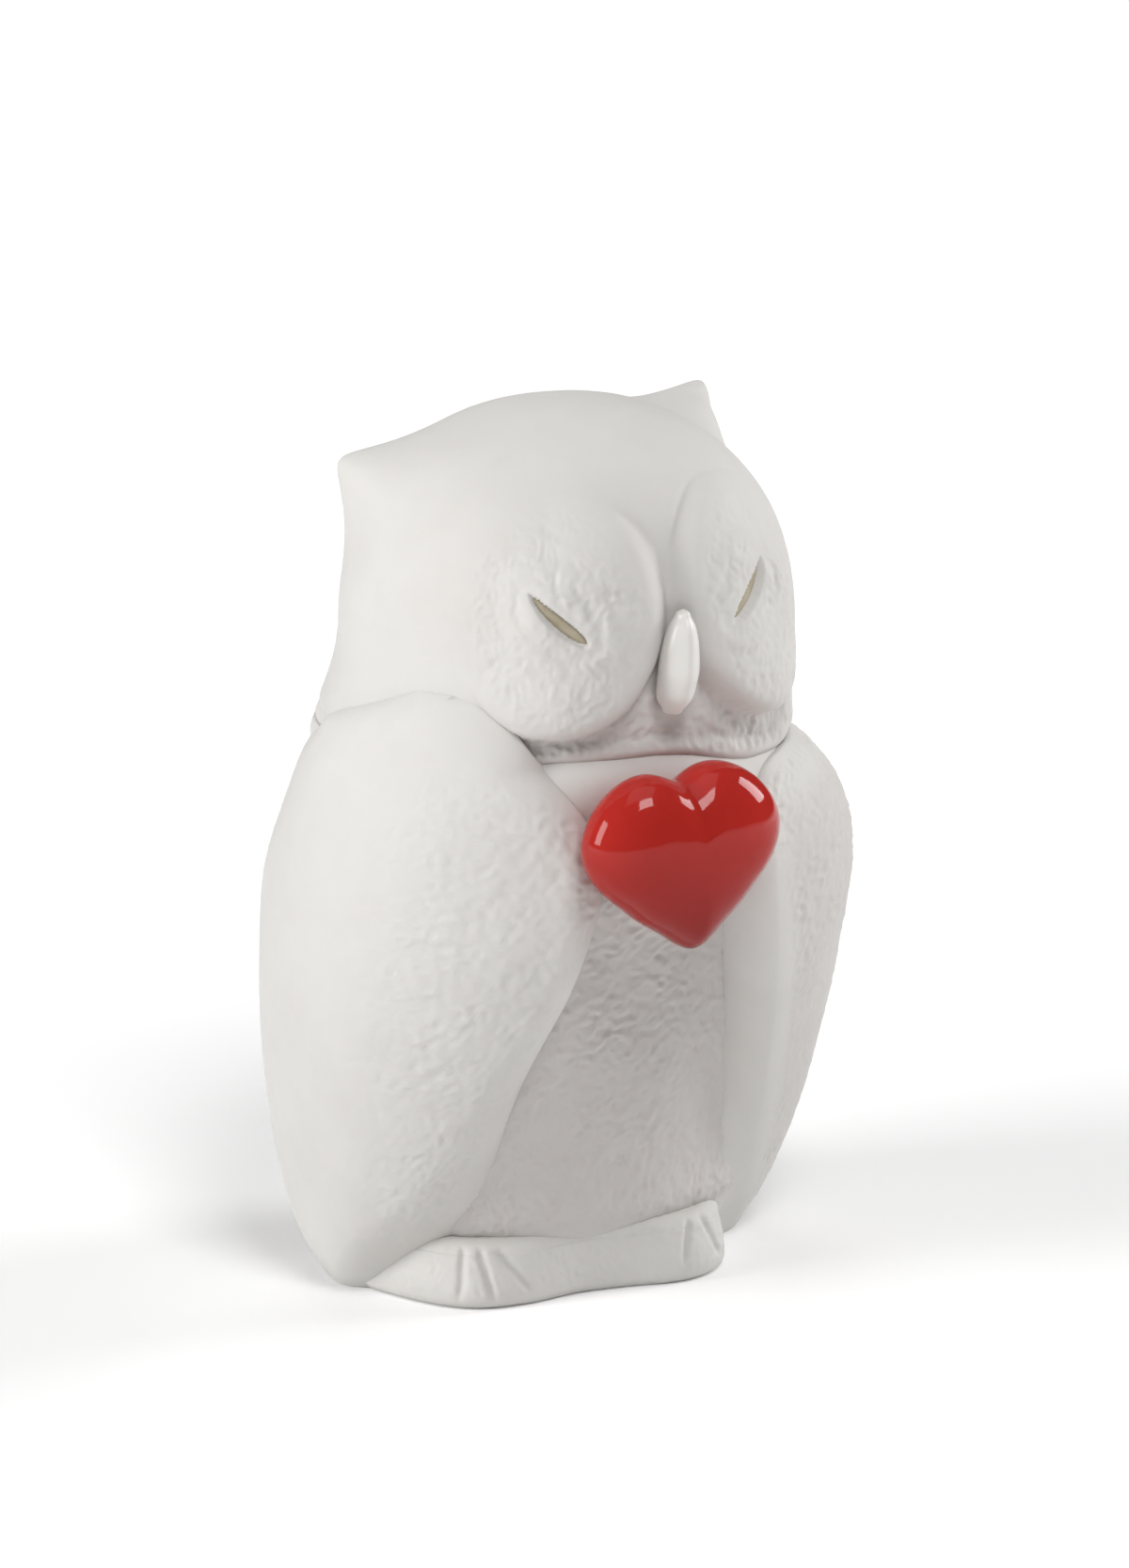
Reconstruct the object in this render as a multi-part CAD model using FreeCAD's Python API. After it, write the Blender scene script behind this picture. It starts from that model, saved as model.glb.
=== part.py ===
import FreeCAD, Part
import math
import os

# Owl figurine in bisque porcelain, holding a red glazed heart.
# Millimetres, +Z up, the owl faces -Y, its own left side is +X.
# Origin: middle of the footprint, on the surface it stands on.

os.makedirs("parts", exist_ok=True)
V = FreeCAD.Vector

# ------------------------------------------------------------------ sizes
OFFSET_X = -0.654            # puts the middle of the overall box on the Z axis
OFFSET_Y = 5.385
NECK_Z = 67.4             # underside of the head casting
SEAM_T = 0.4              # slip layer under the head
HEAD_TOP = 105.4          # crown of the dome
DOME_START = 93.0
DOME_POWER = 2.0
HEAD_TURN = 0.0           # degrees the head is turned towards its left
WALL = 3.2                # slip-cast wall
FLOOR_T = 4.0             # thickness of the base of the body casting
VENT_R = 4.0              # pour and vent hole in the base
VENT_F = -3.0             # its place, forward of the axis
SECTION_N = 2.15          # squareness of the plan sections
FACE_N = 2.5              # squarer across the face

# head sections: height, half width, reach forward, reach back
HEAD_Z = [67.4, 68.6, 72.0, 78.0, 84.0, 90.0, 93.0]
HEAD_A = [26.4, 27.4, 27.4, 27.0, 26.6, 25.8, 24.8]
HEAD_F = [26.6, 27.8, 28.2, 28.0, 27.6, 26.4, 25.0]
HEAD_B = [25.2, 25.6, 24.2, 22.2, 19.8, 18.4, 17.7]

# body sections
BODY_Z = [0.0, 4.0, 8.0, 15.0, 25.0, 35.0, 45.0, 55.0, 62.0, 67.0]
BODY_A = [20.5, 22.5, 24.5, 27.5, 29.5, 30.2, 30.2, 29.2, 28.0, 26.2]
BODY_F = [13.0, 14.5, 17.0, 18.5, 20.0, 22.0, 24.2, 26.2, 27.4, 26.4]
BODY_B = [19.0, 21.0, 23.0, 25.5, 27.0, 27.6, 27.6, 27.2, 26.6, 25.2]

# outer hull the folded wings follow, right (-X) and left (+X)
RW_Z = [0.0, 5.0, 10.0, 20.0, 30.0, 40.0, 50.0, 58.0, 66.0, 72.0, 76.0]
RW_A = [27.5, 30.8, 32.5, 34.8, 35.8, 36.2, 35.4, 33.8, 30.6, 28.6, 26.6]
RW_F = [10.0, 14.0, 17.0, 22.0, 26.0, 29.0, 30.5, 30.5, 29.5, 27.6, 25.6]
RW_B = [22.0, 25.5, 27.5, 29.0, 29.4, 29.2, 28.8, 28.4, 27.6, 26.4, 24.4]
LW_Z = [0.0, 5.0, 10.0, 20.0, 30.0, 40.0, 50.0, 58.0, 64.0, 68.0]
LW_A = [25.5, 28.8, 31.0, 34.0, 35.8, 36.9, 37.5, 35.4, 31.2, 27.6]
LW_F = [10.0, 14.0, 17.0, 22.0, 26.0, 29.0, 30.5, 30.8, 29.8, 27.6]
LW_B = [22.0, 25.5, 27.5, 29.0, 29.4, 29.2, 28.8, 28.4, 27.4, 25.6]

# leaf outline of each wing: height, bearing of front edge, bearing of rear edge
RW_LEAF = [(0.0, 72.0, 96.0), (4.0, 61.0, 112.0), (11.0, 43.5, 124.0),
           (17.0, 34.5, 132.0), (24.6, 29.0, 140.0), (32.4, 24.0, 146.0),
           (39.4, 19.5, 150.0), (47.2, 17.0, 151.0), (53.5, 15.5, 150.0),
           (59.0, 18.5, 146.0), (64.4, 24.5, 138.0), (68.0, 32.0, 128.0),
           (71.0, 41.0, 116.0), (73.6, 53.0, 100.0), (75.0, 68.0, 84.0)]
LW_LEAF = [(0.0, 50.0, 92.0), (4.0, 39.0, 110.0), (10.4, 29.0, 123.0),
           (17.0, 22.0, 132.0), (24.6, 15.5, 140.0), (32.4, 12.0, 146.0),
           (39.4, 9.0, 150.0), (45.5, 7.0, 151.0), (52.0, 8.0, 149.0),
           (57.0, 11.0, 144.0), (61.0, 16.0, 135.0), (64.0, 25.0, 121.0),
           (66.4, 38.0, 104.0), (67.8, 54.0, 84.0)]

# ear tufts: root, tip (side, forward, up) and radii
EAR_ROOT = (11.5, -5.0, 91.6)
EAR_TIP_R = (23.4, -8.0, 99.4)
EAR_TIP_L = (23.4, -8.0, 101.0)
EAR_R0, EAR_R1 = 10.4, 1.6

# facial discs: oval fields raised from the head, steepest along the beak
DISC_T, DISC_Z = -0.6, 83.4     # middle of the oval along its own width
DISC_YAW = 30.0
DISC_RT, DISC_RV = 12.0, 14.8
DISC_RISE = 2.0

# beak
BEAK_TOP, BEAK_BOT = 86.2, 73.4
BEAK_W = 5.2
BEAK_F = 30.4             # ridge of the beak, forward of the axis

# closed eyes: incised leaf-shaped slits filled with fired pigment
EYE_LEN, EYE_W, EYE_DEEP = 8.2, 1.1, 0.7
# middle of each slit: along its disc's width, and up
EYE_R, EYE_L = (-1.0, 85.0), (-4.6, 86.2)

# foot ledge under the belly: plan points (side, forward)
LEDGE_TOP = 7.6
LEDGE = [(-25.6, 1.5), (-23.8, 8.2), (-20.6, 13.2), (-16.8, 16.8), (-12.0, 18.6),
         (-6.5, 18.0), (-1.0, 17.6), (4.5, 18.2), (9.0, 18.9), (13.6, 17.6),
         (16.6, 14.2), (17.6, 9.0)]

# heart
HEART_C = (-1.0, 32.4, 57.1)
HEART_T = 12.0            # front to back
HEART_ROLL = 4.0
BOND_R = 3.4

D2R = math.pi / 180.0


# ------------------------------------------------------------------ helpers
def pchip(xs, ys, x):
    n = len(xs)
    if x <= xs[0]:
        return ys[0]
    if x >= xs[-1]:
        return ys[-1]
    h = [xs[i + 1] - xs[i] for i in range(n - 1)]
    d = [(ys[i + 1] - ys[i]) / h[i] for i in range(n - 1)]
    m = [0.0] * n
    m[0], m[-1] = d[0], d[-1]
    for i in range(1, n - 1):
        if d[i - 1] * d[i] > 0:
            w1, w2 = 2 * h[i] + h[i - 1], h[i] + 2 * h[i - 1]
            m[i] = (w1 + w2) / (w1 / d[i - 1] + w2 / d[i])
    k = 0
    while x > xs[k + 1]:
        k += 1
    t = (x - xs[k]) / h[k]
    return ((1 + 2 * t) * (1 - t) ** 2 * ys[k] + t * (1 - t) ** 2 * h[k] * m[k]
            + t * t * (3 - 2 * t) * ys[k + 1] + t * t * (t - 1) * h[k] * m[k + 1])


def ring(a, f, b, ang, n=SECTION_N, nf=SECTION_N):
    """Point of a superelliptic plan section; ang 0 = forward, + = owl's left."""
    s, c = math.sin(ang), math.cos(ang)
    n = n + (nf - n) * max(c, 0.0) ** 0.5
    x = a * math.copysign(abs(s) ** (2.0 / n), s)
    y = (f if c > 0 else b) * math.copysign(abs(c) ** (2.0 / n), c)
    return x, y


def turn(x, f, z):
    """Progressive turn of the head about the vertical axis above the neck."""
    t = min(max((z - 60.0) / 12.0, 0.0), 1.0)
    t = t * t * (3 - 2 * t) * HEAD_TURN * D2R
    return x * math.cos(t) + f * math.sin(t), -x * math.sin(t) + f * math.cos(t)


def P(x, f, z):
    return V(x + OFFSET_X, -f + OFFSET_Y, z)


def PT(x, f, z):
    x, f = turn(x, f, z)
    return P(x, f, z)


def closed_wire(pts):
    c = Part.BSplineCurve()
    c.interpolate(Points=pts, PeriodicFlag=True)
    return Part.Wire([c.toShape()])


def head_abf(z):
    zc = min(z, DOME_START)
    a, f, b = pchip(HEAD_Z, HEAD_A, zc), pchip(HEAD_Z, HEAD_F, zc), pchip(HEAD_Z, HEAD_B, zc)
    if z > DOME_START:
        t = min((z - DOME_START) / (HEAD_TOP - DOME_START), 1.0)
        k = max(1 - t ** DOME_POWER, 0.0) ** (1.0 / DOME_POWER)
        return a * k, f * k, b * k
    return a, f, b


def body_abf(z):
    return pchip(BODY_Z, BODY_A, z), pchip(BODY_Z, BODY_F, z), pchip(BODY_Z, BODY_B, z)


def ring_wire(a, f, b, z, count=32, nf=SECTION_N):
    pts = []
    for i in range(count):
        x, y = ring(a, f, b, 2 * math.pi * (i + 0.5) / count, SECTION_N, nf)
        pts.append(PT(x, y, z))
    return closed_wire(pts)


def loft(wires):
    return Part.makeLoft(wires, True, False, False)


def solid_of(shape):
    if shape.ShapeType == "Solid":
        return shape
    s = sorted(shape.Solids, key=lambda q: -q.Volume)
    return s[0]


def clean(shape, keep=1, small=0.5):
    s = [q for q in sorted(shape.Solids, key=lambda q: -q.Volume) if q.Volume > small]
    s = s[:keep] if keep else s
    return s[0] if len(s) == 1 else Part.makeCompound(s)


# ------------------------------------------------------------------ head
def head_solid(inset, z0, z1, rise=0.0, side=0.0):
    """Dome-topped loft of the head, inset by the wall, or raised over the face."""
    zs = [z0]
    for z in (68.6, 70.0, 73.0, 77.0, 81.0, 85.0, 89.0, 92.0):
        if z > z0 + 0.6:
            zs.append(z)
    wires = []
    for z in zs:
        a, f, b = head_abf(z)
        wires.append(ring_wire(a - inset - side, f - inset + rise, b - inset - side, z, nf=FACE_N))
    for ang in (12, 24, 36, 48, 60, 70, 79):
        t = math.sin(ang * D2R)
        k = math.cos(ang * D2R)
        z = DOME_START + (z1 - DOME_START) * t
        a, f, b = head_abf(DOME_START)
        wires.append(ring_wire((a - inset - side) * k, (f - inset + rise) * k,
                               (b - inset - side) * k, z, nf=FACE_N))
    wires.append(Part.Vertex(PT(0.0, 1.0, z1)))
    return solid_of(loft(wires))


head_outer = head_solid(0.0, NECK_Z, HEAD_TOP)
head_inner = head_solid(WALL, NECK_Z - 0.01, HEAD_TOP - WALL)


def ear(side, tip):
    r = V(side * EAR_ROOT[0], 0, 0)
    x0, f0 = turn(side * EAR_ROOT[0], EAR_ROOT[1], 100.0)
    x1, f1 = turn(side * tip[0], tip[1], 100.0)
    p0, p1 = P(x0, f0, EAR_ROOT[2]), P(x1, f1, tip[2])
    d = p1.sub(p0)
    length = d.Length
    cone = Part.makeCone(EAR_R0, EAR_R1, length, p0, d)
    ball = Part.makeSphere(EAR_R1, p1)
    return cone.fuse(ball)


face_field = head_solid(0.0, NECK_Z, HEAD_TOP + 0.4, DISC_RISE, 0.35)
eye_floor = head_solid(0.0, NECK_Z, HEAD_TOP + 0.4, DISC_RISE - EYE_DEEP, 0.35 + EYE_DEEP)


def facing(side, t, z):
    """Point and directions of the oval column a facial disc is cut with."""
    yaw = DISC_YAW * D2R
    nx, nf = side * math.sin(yaw), math.cos(yaw)
    tx, tf = side * math.cos(yaw), -math.sin(yaw)
    return tx * t, tf * t, nx, nf, tx, tf


def disc(side):
    cx, cf, nx, nf, tx, tf = facing(side, DISC_T, DISC_Z)
    pts = []
    for i in range(36):
        a = 2 * math.pi * (i + 0.5) / 36
        u = DISC_RT * math.copysign(abs(math.cos(a)) ** 0.9, math.cos(a))
        v = DISC_RV * math.copysign(abs(math.sin(a)) ** 0.9, math.sin(a))
        pts.append(P(cx + tx * u + nx * 8.0, cf + tf * u + nf * 8.0, DISC_Z + v))
    face = Part.Face(closed_wire(pts))
    column = face.extrude(P(nx * 40.0, nf * 40.0, 0).sub(P(0, 0, 0)))
    return clean(face_field.common(column))


head_skin = head_outer
for part in (ear(-1, EAR_TIP_R), ear(1, EAR_TIP_L), disc(-1), disc(1)):
    head_skin = head_skin.fuse(part)
below = Part.makeBox(200, 200, NECK_Z, V(-100, -100, 0))
head_skin = clean(head_skin.cut(below))

# ------------------------------------------------------------------ body
BODY_TOP = NECK_Z - SEAM_T
body_wires = [ring_wire(*body_abf(z), z, nf=FACE_N if z > 60 else SECTION_N) for z in
              (0.0, 4.0, 8.0, 14.0, 22.0, 30.0, 38.0, 46.0, 54.0, 60.0, 64.0, BODY_TOP)]
body_outer = solid_of(loft(body_wires))
cav_wires = []
for z in (FLOOR_T, 9.0, 15.0, 24.0, 34.0, 44.0, 54.0, 61.0, BODY_TOP + 0.01):
    a, f, b = body_abf(z)
    cav_wires.append(ring_wire(a - WALL, f - WALL, b - WALL, z))
body_cavity = solid_of(loft(cav_wires))
vent = Part.makeCylinder(VENT_R, FLOOR_T + 4.0, P(0.0, VENT_F, -1.0), V(0, 0, 1))

# ------------------------------------------------------------------ heart
HEART_DEG = [0, 12, 25, 40, 60, 76, 90, 103, 120, 135, 148, 160, 172, 180]
HEART_R = [9.3, 10.4, 11.8, 12.6, 13.4, 13.5, 12.6, 11.5, 10.6, 10.1, 10.4, 11.0, 11.5, 11.6]


def heart_outline(scale, count=44):
    """Outline round the middle of the heart, from the notch down each side."""
    pts = []
    for i in range(count):
        t = 360.0 * (i + 0.5) / count
        d = t if t <= 180.0 else 360.0 - t
        r = pchip(HEART_DEG, HEART_R, d) * scale
        pts.append((r * math.sin(t * D2R), r * math.cos(t * D2R)))
    return pts


def heart_point(u, v, w):
    """u across, v up, w forward from the middle of the heart."""
    c, s = math.cos(HEART_ROLL * D2R), math.sin(HEART_ROLL * D2R)
    x = u * c - v * s
    z = u * s + v * c
    return P(HEART_C[0] + x, HEART_C[1] + w, HEART_C[2] + z)


def heart_solid():
    wires = []
    wires.append(Part.Vertex(heart_point(0, 0.5, -0.5 * HEART_T)))
    for ang in (-78, -62, -42, -20, 0, 20, 42, 62, 78):
        k = math.cos(ang * D2R)
        w = 0.5 * HEART_T * math.sin(ang * D2R)
        pts = [heart_point(u * k, v * k, w) for u, v in heart_outline(1.0)]
        wires.append(closed_wire(pts))
    wires.append(Part.Vertex(heart_point(0, 0.5, 0.5 * HEART_T)))
    return solid_of(loft(wires))


heart_full = heart_solid()
heart_cav = heart_full.copy()
m = FreeCAD.Matrix()
c0 = P(*HEART_C)
m.move(V(-c0.x, -c0.y, -c0.z))
m.scale(0.76, 0.56, 0.74)
m.move(c0)
heart_cav = heart_cav.transformGeometry(m)
heart_vent = Part.makeCylinder(1.2, 6.0, P(HEART_C[0], HEART_C[1] - 0.5 * HEART_T - 1.0, HEART_C[2]), V(0, -1, 0))

# ------------------------------------------------------------------ wings
def wing_solid(side, zz, aa, ff, bb, leaf):
    wires = []
    lz = [q[0] for q in leaf]
    f_ = [q[1] for q in leaf]
    r_ = [q[2] for q in leaf]
    count = 25
    for z in lz:
        a, f, b = pchip(zz, aa, z), pchip(zz, ff, z), pchip(zz, bb, z)
        if z <= 67.0:
            ca, cf, cb = body_abf(z)
        else:
            ca, cf, cb = head_abf(z)
        p1, p2 = pchip(lz, f_, z) * D2R, pchip(lz, r_, z) * D2R
        outer, inner = [], []
        for i in range(count):
            s = 0.5 - 0.5 * math.cos(math.pi * i / (count - 1.0))
            ang = side * (p1 + (p2 - p1) * s)
            ox, of_ = ring(a, f, b, ang)
            ix, if_ = ring(ca - 1.4, cf - 1.4, cb - 1.4, ang)
            # blunt rounded front edge, long fade at the back
            ef = min(s / 0.16, 1.0)
            er = min((1 - s) / 0.35, 1.0)
            k = math.sqrt(max(1 - (1 - ef) ** 2, 0.0)) * (1 - (1 - er) ** 2)
            outer.append(PT(ix + (ox - ix) * k, if_ + (of_ - if_) * k, z))
            if i % 3 == 0:
                d = 1.6 * math.sin(math.pi * s)
                inner.append(PT(ix - d * math.sin(ang), if_ - d * math.cos(ang), z))
        c1, c2 = Part.BSplineCurve(), Part.BSplineCurve()
        c1.interpolate(Points=outer)
        c2.interpolate(Points=inner[::-1])
        wires.append(Part.Wire([c1.toShape(), c2.toShape()]))
    return solid_of(loft(wires))


rw = wing_solid(-1, RW_Z, RW_A, RW_F, RW_B, RW_LEAF)
lw = wing_solid(1, LW_Z, LW_A, LW_F, LW_B, LW_LEAF)

# ------------------------------------------------------------------ foot ledge
def ledge_solid():
    wires = []
    for z, grow in ((0.0, -0.5), (0.8, 0.3), (2.4, 0.6), (4.5, 0.1), (6.6, -0.9), (LEDGE_TOP, -2.2)):
        pts = []
        for x, f in LEDGE:
            n = math.hypot(x + 4.0, f + 1.0)
            pts.append(P(x + (x + 4.0) / n * grow, f + (f + 1.0) / n * grow, z))
        for x, f in ((12.0, 4.0), (0.0, 6.0), (-12.0, 4.0), (-20.0, 0.0)):
            pts.append(P(x, f, z))
        wires.append(closed_wire(pts))
    return solid_of(loft(wires))


ledge = ledge_solid()

# ------------------------------------------------------------------ eyes
def leaf_prism(side):
    """Curved leaf pushed into the disc along the disc's own direction."""
    eye_t, eye_z = EYE_R if side < 0 else EYE_L
    cx, cf, nx, nf, tx, tf = facing(side, eye_t, eye_z)
    n = 9
    up, lo = [], []
    for i in range(n + 1):
        s = i / float(n)
        u = (s - 0.5) * EYE_LEN
        sag = 1.0 * (1 - (2 * s - 1) ** 2)
        wdt = 0.5 * EYE_W * math.sin(math.pi * s) ** 0.7 if 0 < i < n else 0.0
        up.append((u, -sag + wdt))
        lo.append((u, -sag - wdt))
    slope = 40.0 * D2R

    def place(q):
        u = q[0] * math.cos(slope) - q[1] * math.sin(slope)
        v = q[0] * math.sin(slope) + q[1] * math.cos(slope)
        # u grows outwards from the beak and the slit falls towards it
        return P(cx + tx * u + nx * 10.0, cf + tf * u + nf * 10.0, eye_z + v)

    c1, c2 = Part.BSplineCurve(), Part.BSplineCurve()
    c1.interpolate(Points=[place(q) for q in up])
    c2.interpolate(Points=[place(q) for q in lo[::-1]])
    face = Part.Face(Part.Wire([c1.toShape(), c2.toShape()]))
    return face.extrude(P(nx * 40.0, nf * 40.0, 0).sub(P(0, 0, 0)))


eyes = {}
head_cast = head_skin.cut(head_inner)
for side, name in ((-1, "right"), (1, "left")):
    inlay = head_skin.common(leaf_prism(side)).cut(eye_floor)
    inlay = clean(inlay, 1, 0.05)
    eyes[name] = inlay
    head_cast = head_cast.cut(inlay)

# ------------------------------------------------------------------ beak
def beak_solid():
    wires = []
    hgt = BEAK_TOP - BEAK_BOT
    for s in (0.04, 0.12, 0.25, 0.4, 0.55, 0.7, 0.82, 0.92, 0.98):
        z = BEAK_BOT + hgt * s
        k = math.sin(math.pi * s ** 0.86) ** 0.62
        w = 0.5 * BEAK_W * k
        lean = 0.9 * (1 - s)
        front = BEAK_F + lean - 1.8 * (1 - k)
        pts = []
        for i in range(16):
            t = 2 * math.pi * (i + 0.5) / 16
            x = w * math.sin(t)
            c = math.cos(t)
            y = front - 2.6 + (2.6 * c if c > 0 else 5.0 * c)
            pts.append(PT(x, y, z))
        wires.append(closed_wire(pts))
    return solid_of(loft(wires))


beak = beak_solid()
beak = clean(beak.cut(head_skin).common(Part.makeBox(200, 200, 200, V(-100, -100, 0))), 1, 0.1)

# ------------------------------------------------------------------ neck slip
a1, f1, b1 = head_abf(NECK_Z)
a2, f2, b2 = body_abf(BODY_TOP)
ao, fo, bo = min(a1, a2) - 0.3, min(f1, f2) - 0.3, min(b1, b2) - 0.3
ai, fi, bi = max(a1, a2) - WALL + 0.2, max(f1, f2) - WALL + 0.2, max(b1, b2) - WALL + 0.2
slip = solid_of(loft([ring_wire(ao, fo, bo, BODY_TOP, nf=FACE_N), ring_wire(ao, fo, bo, NECK_Z, nf=FACE_N)]))
slip = slip.cut(solid_of(loft([ring_wire(ai, fi, bi, BODY_TOP - 0.01, nf=FACE_N), ring_wire(ai, fi, bi, NECK_Z + 0.01, nf=FACE_N)])))
slip = slip.common(Part.makeBox(200, 200, SEAM_T, V(-100, -100, BODY_TOP)))
slip = clean(slip)

# ------------------------------------------------------------------ assembly
floor_box = Part.makeBox(200, 200, 200, V(-100, -100, 0))
body_plain = body_outer.common(floor_box)
heart_solid_full = heart_full
body_cut = body_plain.cut(heart_solid_full)
body_cast = clean(body_cut.cut(body_cavity).cut(vent))
rw_cast = rw.common(floor_box).cut(body_plain).cut(head_skin).cut(slip).cut(heart_solid_full)
lw_cast = lw.common(floor_box).cut(body_plain).cut(head_skin).cut(slip).cut(heart_solid_full)
rw_cast, lw_cast = clean(rw_cast), clean(lw_cast)
ledge_cast = clean(ledge.common(floor_box).cut(body_plain).cut(rw_cast).cut(lw_cast))
head_final = clean(head_cast.cut(heart_solid_full).cut(beak))
heart_cast = clean(heart_solid_full.cut(heart_cav).cut(heart_vent))
bond = Part.makeCylinder(BOND_R, 14.0, P(HEART_C[0], HEART_C[1] - 0.5 * HEART_T + 4.0, HEART_C[2] - 1.0), V(0, 1, 0))
bond = bond.cut(heart_solid_full).cut(body_plain).cut(rw_cast).cut(lw_cast).cut(head_skin)
bond = clean(bond, 1, 0.05)

NODES = {
    "body_casting": body_cast,
    "head_casting": head_final,
    "neck_slip_seam": slip,
    "right_wing_casting": rw_cast,
    "left_wing_casting": lw_cast,
    "foot_ledge_casting": ledge_cast,
    "beak": beak,
    "right_eye_line": eyes["right"],
    "left_eye_line": eyes["left"],
    "heart_casting": heart_cast,
    "heart_bond": bond,
}
lo = [1e9] * 3
hi = [-1e9] * 3
for name, shape in NODES.items():
    shape.exportStep("parts/" + name + ".step")
    bb = shape.BoundBox
    for i, (p, q) in enumerate(((bb.XMin, bb.XMax), (bb.YMin, bb.YMax), (bb.ZMin, bb.ZMax))):
        lo[i], hi[i] = min(lo[i], p), max(hi[i], q)
    print("%-22s valid %s solids %d vol %8.1f  x %.1f..%.1f y %.1f..%.1f z %.1f..%.1f" % (
        name, shape.isValid(), len(shape.Solids), shape.Volume,
        bb.XMin, bb.XMax, bb.YMin, bb.YMax, bb.ZMin, bb.ZMax))
print("overall", [round(v, 3) for v in lo], [round(v, 3) for v in hi])
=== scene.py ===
import math

import bpy
import numpy as np
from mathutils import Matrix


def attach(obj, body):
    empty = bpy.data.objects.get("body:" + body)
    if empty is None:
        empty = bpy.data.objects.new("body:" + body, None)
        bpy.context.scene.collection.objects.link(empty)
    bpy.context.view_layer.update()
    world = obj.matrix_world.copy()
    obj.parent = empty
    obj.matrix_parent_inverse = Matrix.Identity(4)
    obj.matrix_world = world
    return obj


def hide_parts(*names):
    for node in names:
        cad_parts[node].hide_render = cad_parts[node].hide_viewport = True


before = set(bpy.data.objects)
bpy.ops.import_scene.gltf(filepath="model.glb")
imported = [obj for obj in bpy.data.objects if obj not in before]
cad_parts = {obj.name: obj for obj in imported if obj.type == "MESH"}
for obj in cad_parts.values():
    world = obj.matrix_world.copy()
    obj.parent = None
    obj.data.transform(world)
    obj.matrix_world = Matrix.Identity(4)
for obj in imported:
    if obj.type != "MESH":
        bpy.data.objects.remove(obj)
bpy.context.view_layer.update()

# ------------------------------------------------------------------ sizes, millimetres
OFFX, OFFY = -0.654, 5.385
D2R = math.pi / 180.0
NECK = 67.2
TOP = 105.4
DOME0 = 79.0
DOME_P = 2.35
RES = 1.0


def spline(xs, ys, x):
    """Natural cubic spline through the knots, held flat outside them."""
    xs, ys = np.asarray(xs, float), np.asarray(ys, float)
    n = len(xs)
    h = np.diff(xs)
    A = np.zeros((n, n))
    r = np.zeros(n)
    A[0, 0] = A[-1, -1] = 1.0
    for i in range(1, n - 1):
        A[i, i - 1], A[i, i], A[i, i + 1] = h[i - 1], 2 * (h[i - 1] + h[i]), h[i]
        r[i] = 6 * ((ys[i + 1] - ys[i]) / h[i] - (ys[i] - ys[i - 1]) / h[i - 1])
    m = np.linalg.solve(A, r)
    x = np.clip(np.asarray(x, float), xs[0], xs[-1])
    k = np.clip(np.searchsorted(xs, x) - 1, 0, n - 2)
    t0, t1, hh = x - xs[k], xs[k + 1] - x, h[k]
    return (m[k] * t1 ** 3 + m[k + 1] * t0 ** 3) / (6 * hh) + (ys[k] / hh - m[k] * hh / 6) * t1 \
        + (ys[k + 1] / hh - m[k + 1] * hh / 6) * t0


def smooth(a, b, x):
    t = np.clip((x - a) / (b - a), 0.0, 1.0)
    return t * t * (3 - 2 * t)


def ring(a, f, b, ang, n=2.15, nf=2.15):
    s, c = np.sin(ang), np.cos(ang)
    n = n + (nf - n) * np.sqrt(np.maximum(c, 0.0))
    x = a * np.sign(s) * np.abs(s) ** (2.0 / n)
    y = np.where(c > 0, f, b) * np.sign(c) * np.abs(c) ** (2.0 / n)
    return x, y


# ------------------------------------------------------------------ noise
def _hash(ix, iy, iz, seed):
    n = (ix.astype(np.uint32) * np.uint32(374761393) + iy.astype(np.uint32) * np.uint32(668265263)
         + iz.astype(np.uint32) * np.uint32(2246822519) + np.uint32(seed * 3266489 + 12345))
    n = (n ^ (n >> np.uint32(13))) * np.uint32(1274126177)
    n = (n ^ (n >> np.uint32(15))) * np.uint32(2654435761)
    return n ^ (n >> np.uint32(16))


def noise(p, seed=0):
    """Gradient noise, about -1..1, p of shape (..., 3)."""
    shape = p.shape[:-1]
    p = p.reshape(-1, 3)
    i = np.floor(p).astype(np.int64)
    f = p - i
    u = f * f * f * (f * (f * 6 - 15) + 10)
    out = np.zeros(len(p))
    for dx in (0, 1):
        wx = u[:, 0] if dx else 1 - u[:, 0]
        for dy in (0, 1):
            wy = u[:, 1] if dy else 1 - u[:, 1]
            for dz in (0, 1):
                wz = u[:, 2] if dz else 1 - u[:, 2]
                h = _hash(i[:, 0] + dx, i[:, 1] + dy, i[:, 2] + dz, seed)
                g0 = (h & np.uint32(1023)).astype(float) / 511.5 - 1
                g1 = ((h >> np.uint32(10)) & np.uint32(1023)).astype(float) / 511.5 - 1
                g2 = ((h >> np.uint32(20)) & np.uint32(1023)).astype(float) / 511.5 - 1
                out += wx * wy * wz * (g0 * (f[:, 0] - dx) + g1 * (f[:, 1] - dy) + g2 * (f[:, 2] - dz))
    return (1.25 * out).reshape(shape)


def stipple(p):
    """Height of the dabbed slip, millimetres, for a mask of one: short wandering ridges and pits."""
    w = np.stack([noise(p / 2.6, 11), noise(p / 2.6, 12), noise(p / 2.6, 13)], axis=-1)
    q = p + 0.8 * w
    a = 1.0 - np.abs(noise(q / 1.30, 21)) * 4.2
    a = np.clip(a, -0.7, 1.0)
    b = np.clip(noise(q / 0.95, 22) * 2.0, -1, 1)
    c = np.clip(noise(p / 4.6, 23) * 2.0, -1, 1)
    d = noise(q / 0.62, 24)
    return (0.155 * a + 0.150 * b + 0.07 * d) * (0.85 + 0.35 * c) + 0.06 * c


def swell(p, amp=0.16, size=17.0, seed=3):
    """The slow unevenness of a hand-finished casting."""
    return amp * (noise(p / size, seed) + 0.45 * noise(p / (size * 0.45), seed + 1))


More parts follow.
